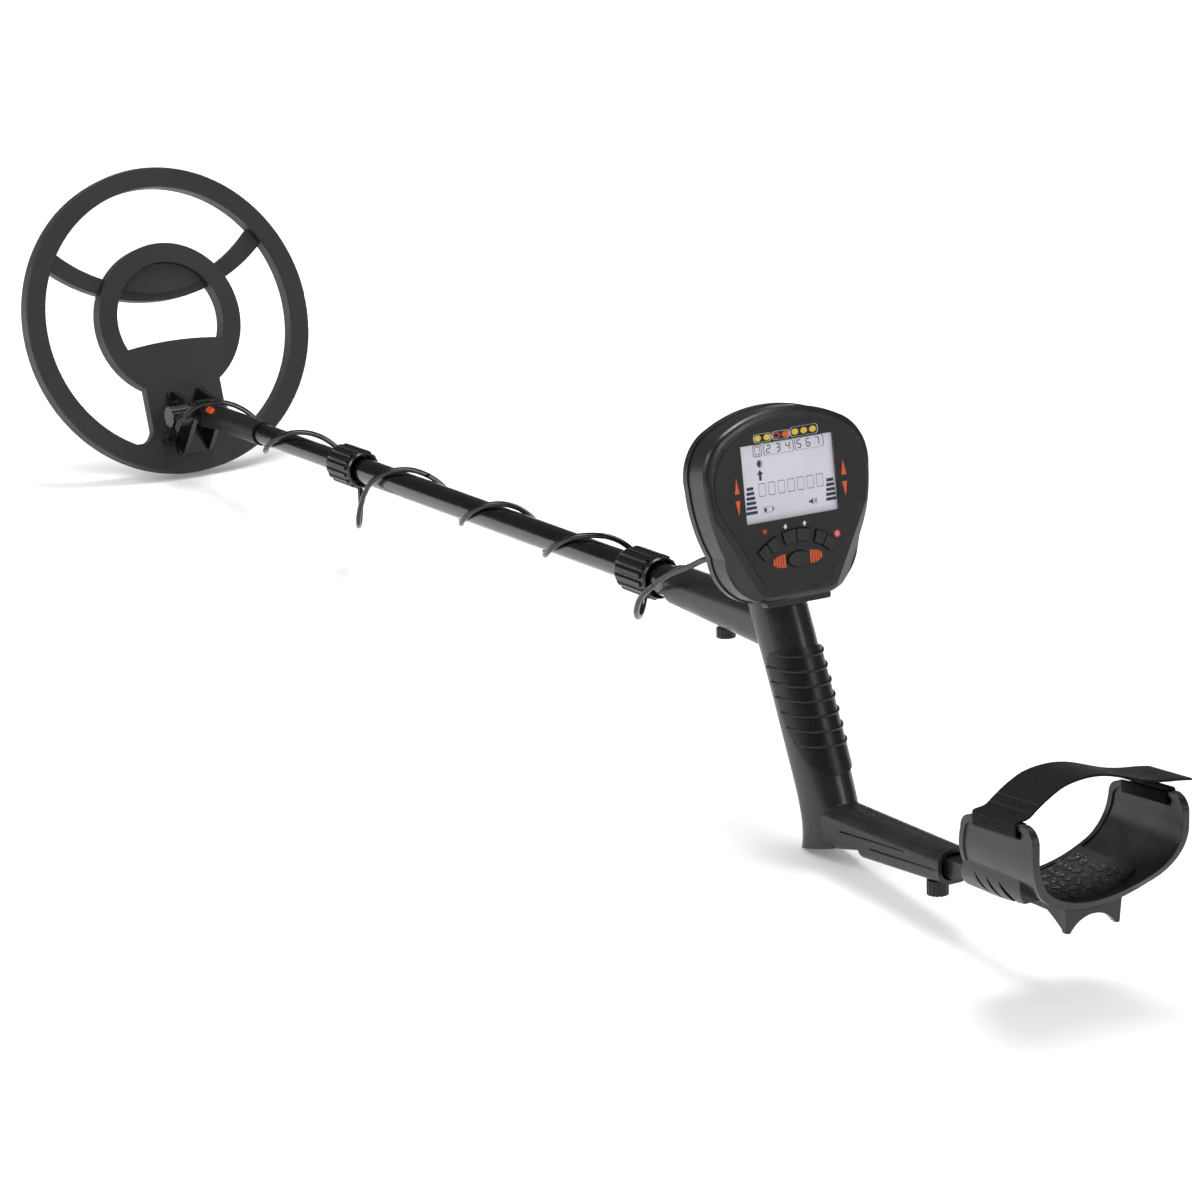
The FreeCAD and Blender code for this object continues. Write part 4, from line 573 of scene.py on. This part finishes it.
for side in (-1, 1):
    for step in range(5):
        height = 8.6 * math.sqrt(1 - ((step + 0.3) / 5) ** 2)
        orange_marks.append(bar(side * (10.2 + step * 1.95), -51.8, 1.35, height))
printed("overlay_marks_orange", orange_marks, PRINT_HEIGHT, ink_orange)
YELLOW_PLACES = ((-22.3, 28.6), (-15.2, 28.6), (6.4, 29.1), (13.2, 29.1), (20.0, 29.1))
yellow_discs = [disc(x, y, 2.6, 1.95) for x, y in YELLOW_PLACES]
printed("overlay_marks_yellow", yellow_discs, PRINT_HEIGHT, ink_yellow)
printed("overlay_marks_red", [disc(31.8, -40.2, 2.5)], PRINT_HEIGHT, ink_red)

# ---- Arm cuff ----------------------------------------------------------------------------
# One moulded trough with a rolled rim, bolted to its bar, with a patterned rubber pad on its
# floor. The stand with two points is clipped under its back edge.
cuff_plastic = plastic(
    "cuff_plastic", (0.0135, 0.0135, 0.014), gloss=0.3, grain=2200.0, depth=0.00004, edge=0.0009
)
pad_rubber = plastic("pad_rubber", (0.016, 0.0155, 0.0155), gloss=0.42, grain=1500.0, edge=0)
PAD_RADIUS = 65.2
PAD_CENTRE_Z = -34.25
# The pad's raised pattern, in mm: rings of a petal as a share of its outline and a height.
PETAL_RINGS = [(1.0, -0.1), (0.97, 0.55), (0.8, 0.6), (0.74, 0.05), (0.5, 0.05), (0.4, 0.5), (0.15, 0.75)]
PETAL_STEPS = 22
PETAL_ROWS = 7
PETAL_COLUMNS = 6


def on_pad(x, round_it, lift):
    """A point above the pad's hollow top: x along the stem, round_it across it, in mm."""
    angle = round_it / PAD_RADIUS
    reach = PAD_RADIUS - lift
    return stem @ (Vector((x, reach * math.sin(angle), PAD_CENTRE_Z - reach * math.cos(angle))) / 1000)


def petal(x, round_it, long, wide, turn, vertices, faces):
    """A raised oval line with a raised leaf in it."""
    first = len(vertices)
    steps = PETAL_STEPS
    for share, lift in PETAL_RINGS:
        for step in range(steps):
            angle = 2 * math.pi * step / steps
            u = long * share * math.cos(angle)
            v = wide * share * math.sin(angle) * (1 + 0.25 * math.cos(angle))
            along_pad = x + u * math.cos(turn) - v * math.sin(turn)
            across_pad = round_it + u * math.sin(turn) + v * math.cos(turn)
            vertices.append(on_pad(along_pad, across_pad, lift))
    for ring in range(len(PETAL_RINGS) - 1):
        for step in range(steps):
            a = first + ring * steps + step
            b = first + ring * steps + (step + 1) % steps
            faces.append((a, b, b + steps, a + steps))
    last = first + (len(PETAL_RINGS) - 1) * steps
    faces.append(tuple(range(last, last + steps)))
    faces.append(tuple(range(first + steps - 1, first - 1, -1)))


vertices = []
faces = []
for row in range(PETAL_ROWS):
    for column in range(PETAL_COLUMNS):
        x = 499.3 + column * 8.7 - (2.2 if row % 2 else -1.4)
        number = row * PETAL_COLUMNS + column
        long = 4.6 + 0.5 * math.sin(number * 2.3)
        petal(x, -27.6 + row * 9.2, long, long * 0.66, 0.9 * number, vertices, faces)
petals = new_piece("pad_petals", vertices, faces, pad_rubber)
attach(petals, "cuff")
finish_nodes(cuff_plastic, "arm_cuff", "stand_foot", "cuff_stalk")
finish_nodes(pad_rubber, "cuff_pad")
finish_nodes(steel, "cuff_screws")

# ---- Arm strap ---------------------------------------------------------------------------
# A woven nylon strap, 42 mm wide. It is looped through a slot in each wall of the cuff. The
# arch is the outer layer, and its free end stands out past the far wall.
STRAP_WIDTH = 0.042
STRAP_THICKNESS = 0.0015
STRAP_PLACE = (0.534, 0, -0.046)
STRAP_LEAN = -3.0
strap = stem @ Matrix.Translation(STRAP_PLACE) @ Matrix.Rotation(math.radians(STRAP_LEAN), 4, "Y")
WARP_PITCH = 0.0021
RIB_PITCH = 0.0017


def webbing(name):
    """Nylon webbing: cross ribs with warp yarns over them, from the piece's own UV map in metres."""
    material = plastic(name, (0.0035, 0.0035, 0.0038), gloss=0.6, grain=5000.0, edge=0, shine=0.22)
    tree = material.node_tree
    uv = tree.nodes.new("ShaderNodeUVMap")
    uv.uv_map = "cloth"
    split = tree.nodes.new("ShaderNodeSeparateXYZ")
    tree.links.new(uv.outputs["UV"], split.inputs["Vector"])
    waves = []
    for label, pitch in (("X", WARP_PITCH), ("Y", RIB_PITCH)):
        scale = tree.nodes.new("ShaderNodeMath")
        scale.operation = "MULTIPLY"
        scale.inputs[1].default_value = 2 * math.pi / pitch
        sine = tree.nodes.new("ShaderNodeMath")
        sine.operation = "SINE"
        tree.links.new(split.outputs[label], scale.inputs[0])
        tree.links.new(scale.outputs["Value"], sine.inputs[0])
        waves.append(sine)
    both = tree.nodes.new("ShaderNodeMath")
    both.operation = "MULTIPLY_ADD"
    both.inputs[1].default_value = 0.15
    tree.links.new(waves[0].outputs["Value"], both.inputs[0])
    tree.links.new(waves[1].outputs["Value"], both.inputs[2])
    weave = tree.nodes.new("ShaderNodeBump")
    weave.inputs["Distance"].default_value = 0.00035
    tree.links.new(both.outputs["Value"], weave.inputs["Height"])
    tree.links.new(weave.outputs["Normal"], tree.nodes["grain"].inputs["Normal"])
    return material


def ribbon(name, points, material):
    """A flat strap along a smooth line in the strap's YZ plane, with round selvedges."""
    line = nurbs_line([Vector((0, y / 1000, z / 1000)) for y, z in points])
    half = STRAP_WIDTH / 2
    thin = STRAP_THICKNESS / 2
    ring = [(-half, 0), (-half + thin * 0.5, thin * 0.8), (-half + thin * 1.4, thin)]
    ring += [(half - thin * 1.4, thin), (half - thin * 0.5, thin * 0.8), (half, 0)]
    ring += [(x, -z) for x, z in ring[-2:0:-1]]
    vertices = []
    lengths = [0.0]
    for before, after in zip(line, line[1:]):
        lengths.append(lengths[-1] + (after - before).length)
    for index, point in enumerate(line):
        ahead = (line[min(index + 1, len(line) - 1)] - line[max(index - 1, 0)]).normalized()
        up = Vector((1, 0, 0)).cross(ahead)
        vertices += [strap @ (point + Vector((x, 0, 0)) + up * z) for x, z in ring]
    count = len(ring)
    faces = [tuple(range(count)), tuple(range(len(vertices) - 1, len(vertices) - 1 - count, -1))]
    for index in range(len(line) - 1):
        for step in range(count):
            a = index * count + step
            b = index * count + (step + 1) % count
            faces.append((a, a + count, b + count, b))
    piece = new_piece(name, vertices, faces, material)
    layer = piece.data.uv_layers.new(name="cloth")
    for loop in piece.data.loops:
        row, step = divmod(loop.vertex_index, count)
        layer.data[loop.index].uv = (ring[step][0], lengths[row])
    piece.data.update()
    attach(piece, "cuff")
    return piece, lengths[-1]


nylon = webbing("black_webbing")
# The two layers seen along the stem, as points across it and up, in mm from the strap's place.
ARCH = [
    (-51.95, 1.4), (-51.95, -5.0), (-52.4, -6.25), (-58.5, -6.25), (-59.25, -5.6), (-59.25, 1.6),
    (-58.6, 3.0), (-54.5, 3.2), (-49.5, 3.9), (-45.0, 7.2), (-36.0, 12.8), (-24.5, 18.4),
    (-14.0, 20.4), (-2.0, 20.9), (8.0, 19.6), (16.0, 17.6), (26.0, 14.2), (35.0, 11.2),
    (44.0, 9.0), (54.0, 7.5), (64.0, 6.6), (72.4, 5.2),
]
LOOP = [
    (38.5, 8.8), (44.0, 6.3), (50.0, 3.4), (53.5, 2.65), (58.2, 2.65), (59.25, 1.9),
    (59.25, -5.5), (58.5, -6.25), (52.6, -6.25), (51.95, -5.5), (51.95, 1.0),
]
arch, arch_length = ribbon("strap_arch", ARCH, nylon)
loop, loop_length = ribbon("strap_loop", LOOP, nylon)
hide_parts("arm_strap")

# ---- Stitches ----------------------------------------------------------------------------
# Rows of lock stitches in bonded nylon thread hold each loop of the strap closed. A row is
# given by the middle of its place on the strap in mm and its slope in degrees.
STITCHES = 13
STITCH_PITCH = 0.0031
STITCH_SIZE = (0.0021, 0.0005, 0.0004)
STITCH_PLACES = [(-47.2, 6.3, 45), (-41.5, 10.3, 33), (44.0, 9.85, -15), (37.5, 11.2, -17)]
thread = plastic("nylon_thread", (0.03, 0.03, 0.031), gloss=0.45, edge=0)


def stitch_tree():
    """A row of equal stitches: a line of points with a short bar at each."""
    tree = bpy.data.node_groups.new("stitch_row", "GeometryNodeTree")
    tree.interface.new_socket(name="Geometry", in_out="OUTPUT", socket_type="NodeSocketGeometry")
    kinds = {"Count": "Int", "Start": "Vector", "Step": "Vector", "Size": "Vector", "Material": "Material"}
    sockets = {}
    for label, kind in kinds.items():
        socket = tree.interface.new_socket(name=label, in_out="INPUT", socket_type="NodeSocket" + kind)
        sockets[label] = socket.identifier
    source = tree.nodes.new("NodeGroupInput")
    sink = tree.nodes.new("NodeGroupOutput")
    row = tree.nodes.new("GeometryNodeMeshLine")
    stitch = tree.nodes.new("GeometryNodeMeshCube")
    spread = tree.nodes.new("GeometryNodeInstanceOnPoints")
    real = tree.nodes.new("GeometryNodeRealizeInstances")
    colour = tree.nodes.new("GeometryNodeSetMaterial")
    link = tree.links.new
    link(source.outputs["Count"], row.inputs["Count"])
    link(source.outputs["Start"], row.inputs["Start Location"])
    link(source.outputs["Step"], row.inputs["Offset"])
    link(source.outputs["Size"], stitch.inputs["Size"])
    link(row.outputs["Mesh"], spread.inputs["Points"])
    link(stitch.outputs["Mesh"], spread.inputs["Instance"])
    link(spread.outputs["Instances"], real.inputs["Geometry"])
    link(real.outputs["Geometry"], colour.inputs["Geometry"])
    link(source.outputs["Material"], colour.inputs["Material"])
    link(colour.outputs["Geometry"], sink.inputs["Geometry"])
    return tree, sockets


def stitch_row(tree, sockets, values):
    """Vertices and faces of one row."""
    holder = new_piece("row", [], [], thread)
    modifier = holder.modifiers.new("row", "NODES")
    modifier.node_group = tree
    for label, value in values.items():
        modifier[sockets[label]] = value
    holder.update_tag()
    shape = bpy.data.meshes.new_from_object(holder.evaluated_get(bpy.context.evaluated_depsgraph_get()))
    row = [vertex.co.copy() for vertex in shape.vertices], [tuple(face.vertices) for face in shape.polygons]
    bpy.data.objects.remove(holder)
    bpy.data.meshes.remove(shape)
    return row


tree, sockets = stitch_tree()
vertices = []
faces = []
values = {
    "Count": STITCHES,
    "Start": (-STITCH_PITCH * (STITCHES - 1) / 2, 0, 0),
    "Step": (STITCH_PITCH, 0, 0),
    "Size": STITCH_SIZE,
    "Material": thread,
}
for y, z, slope in STITCH_PLACES:
    lay = strap @ Matrix.Translation((0, y / 1000, z / 1000)) @ Matrix.Rotation(math.radians(slope), 4, "X")
    row_vertices, row_faces = stitch_row(tree, sockets, values)
    faces += [tuple(index + len(vertices) for index in face) for face in row_faces]
    vertices += [lay @ vertex for vertex in row_vertices]
stitches = new_piece("strap_stitches", vertices, faces, thread)
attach(stitches, "cuff")

# ---- Studio ------------------------------------------------------------------------------
# A white floor that runs out of sight, and large soft lights. The floor's glow is only seen
# by the camera and grows with the distance from the object, so it lights nothing.
FLOOR_REACH = 14.0
FLOOR_DROP = 0.0002
GLOW_NEAR = (0.9, 0.16)
GLOW_FAR = (4.0, 0.7)
floor_white = bpy.data.materials.new("floor_white")
floor_white.use_nodes = True
floor_tree = floor_white.node_tree
floor_shader = floor_tree.nodes["Principled BSDF"]
floor_shader.inputs["Base Color"].default_value = (0.95, 0.95, 0.95, 1)
floor_shader.inputs["Roughness"].default_value = 0.9
floor_shader.inputs["Specular IOR Level"].default_value = 0.0
floor_shader.inputs["Emission Color"].default_value = (1, 1, 1, 1)
floor_place = floor_tree.nodes.new("ShaderNodeTexCoord")
floor_reach = floor_tree.nodes.new("ShaderNodeVectorMath")
floor_reach.operation = "LENGTH"
floor_glow = floor_tree.nodes.new("ShaderNodeMapRange")
floor_glow.inputs["From Min"].default_value, floor_glow.inputs["To Min"].default_value = GLOW_NEAR
floor_glow.inputs["From Max"].default_value, floor_glow.inputs["To Max"].default_value = GLOW_FAR
floor_rays = floor_tree.nodes.new("ShaderNodeLightPath")
floor_seen = floor_tree.nodes.new("ShaderNodeMath")
floor_seen.operation = "MULTIPLY"
floor_tree.links.new(floor_place.outputs["Object"], floor_reach.inputs[0])
floor_tree.links.new(floor_reach.outputs["Value"], floor_glow.inputs["Value"])
floor_tree.links.new(floor_glow.outputs["Result"], floor_seen.inputs[0])
floor_tree.links.new(floor_rays.outputs["Is Camera Ray"], floor_seen.inputs[1])
floor_tree.links.new(floor_seen.outputs["Value"], floor_shader.inputs["Emission Strength"])
corners = [(x * FLOOR_REACH, y * FLOOR_REACH, -FLOOR_DROP) for x, y in ((-1, -1), (1, -1), (1, 1), (-1, 1))]
floor = new_piece("floor", corners, [(0, 1, 2, 3)], floor_white, smooth=False)


LIT_POINT = Vector((0, 0, 0.1))


def soft_light(name, place, width, height, power, target=LIT_POINT):
    """A rectangular lamp that faces its target, in metres and watts."""
    data = bpy.data.lights.new(name, "AREA")
    data.shape = "RECTANGLE"
    data.size = width
    data.size_y = height
    data.energy = power
    lamp = bpy.data.objects.new(name, data)
    bpy.context.scene.collection.objects.link(lamp)
    lamp.location = place
    lamp.rotation_euler = (Vector(target) - Vector(place)).to_track_quat("-Z", "Y").to_euler()


soft_light("key_light", (-0.9, -2.6, 1.9), 1.0, 1.5, 48)
soft_light("top_light", (-0.6, 0.6, 3.2), 2.0, 1.0, 72)
soft_light("side_light", (3.0, 1.2, 1.4), 0.8, 1.4, 16, target=(0.2, 0, 0.1))

world = bpy.data.worlds.new("world")
bpy.context.scene.world = world
world.use_nodes = True
sky = world.node_tree
background = sky.nodes["Background"]
background.inputs["Color"].default_value = (1, 1, 1, 1)
# The camera sees a white sky. Rough surfaces are lit by half of it, and gloss shows very
# little of it, so that dark plastic stays dark.
SKY_SEEN = {"Is Diffuse Ray": 0.5, "Is Glossy Ray": 0.09}
path = sky.nodes.new("ShaderNodeLightPath")
strength = sky.nodes.new("ShaderNodeMath")
strength.operation = "MULTIPLY"
for (ray, seen), factor in zip(SKY_SEEN.items(), strength.inputs):
    dim = sky.nodes.new("ShaderNodeMapRange")
    dim.inputs["To Min"].default_value = 1.0
    dim.inputs["To Max"].default_value = seen
    sky.links.new(path.outputs[ray], dim.inputs["Value"])
    sky.links.new(dim.outputs["Result"], factor)
sky.links.new(strength.outputs["Value"], background.inputs["Strength"])
bpy.context.scene.view_settings.view_transform = "Standard"
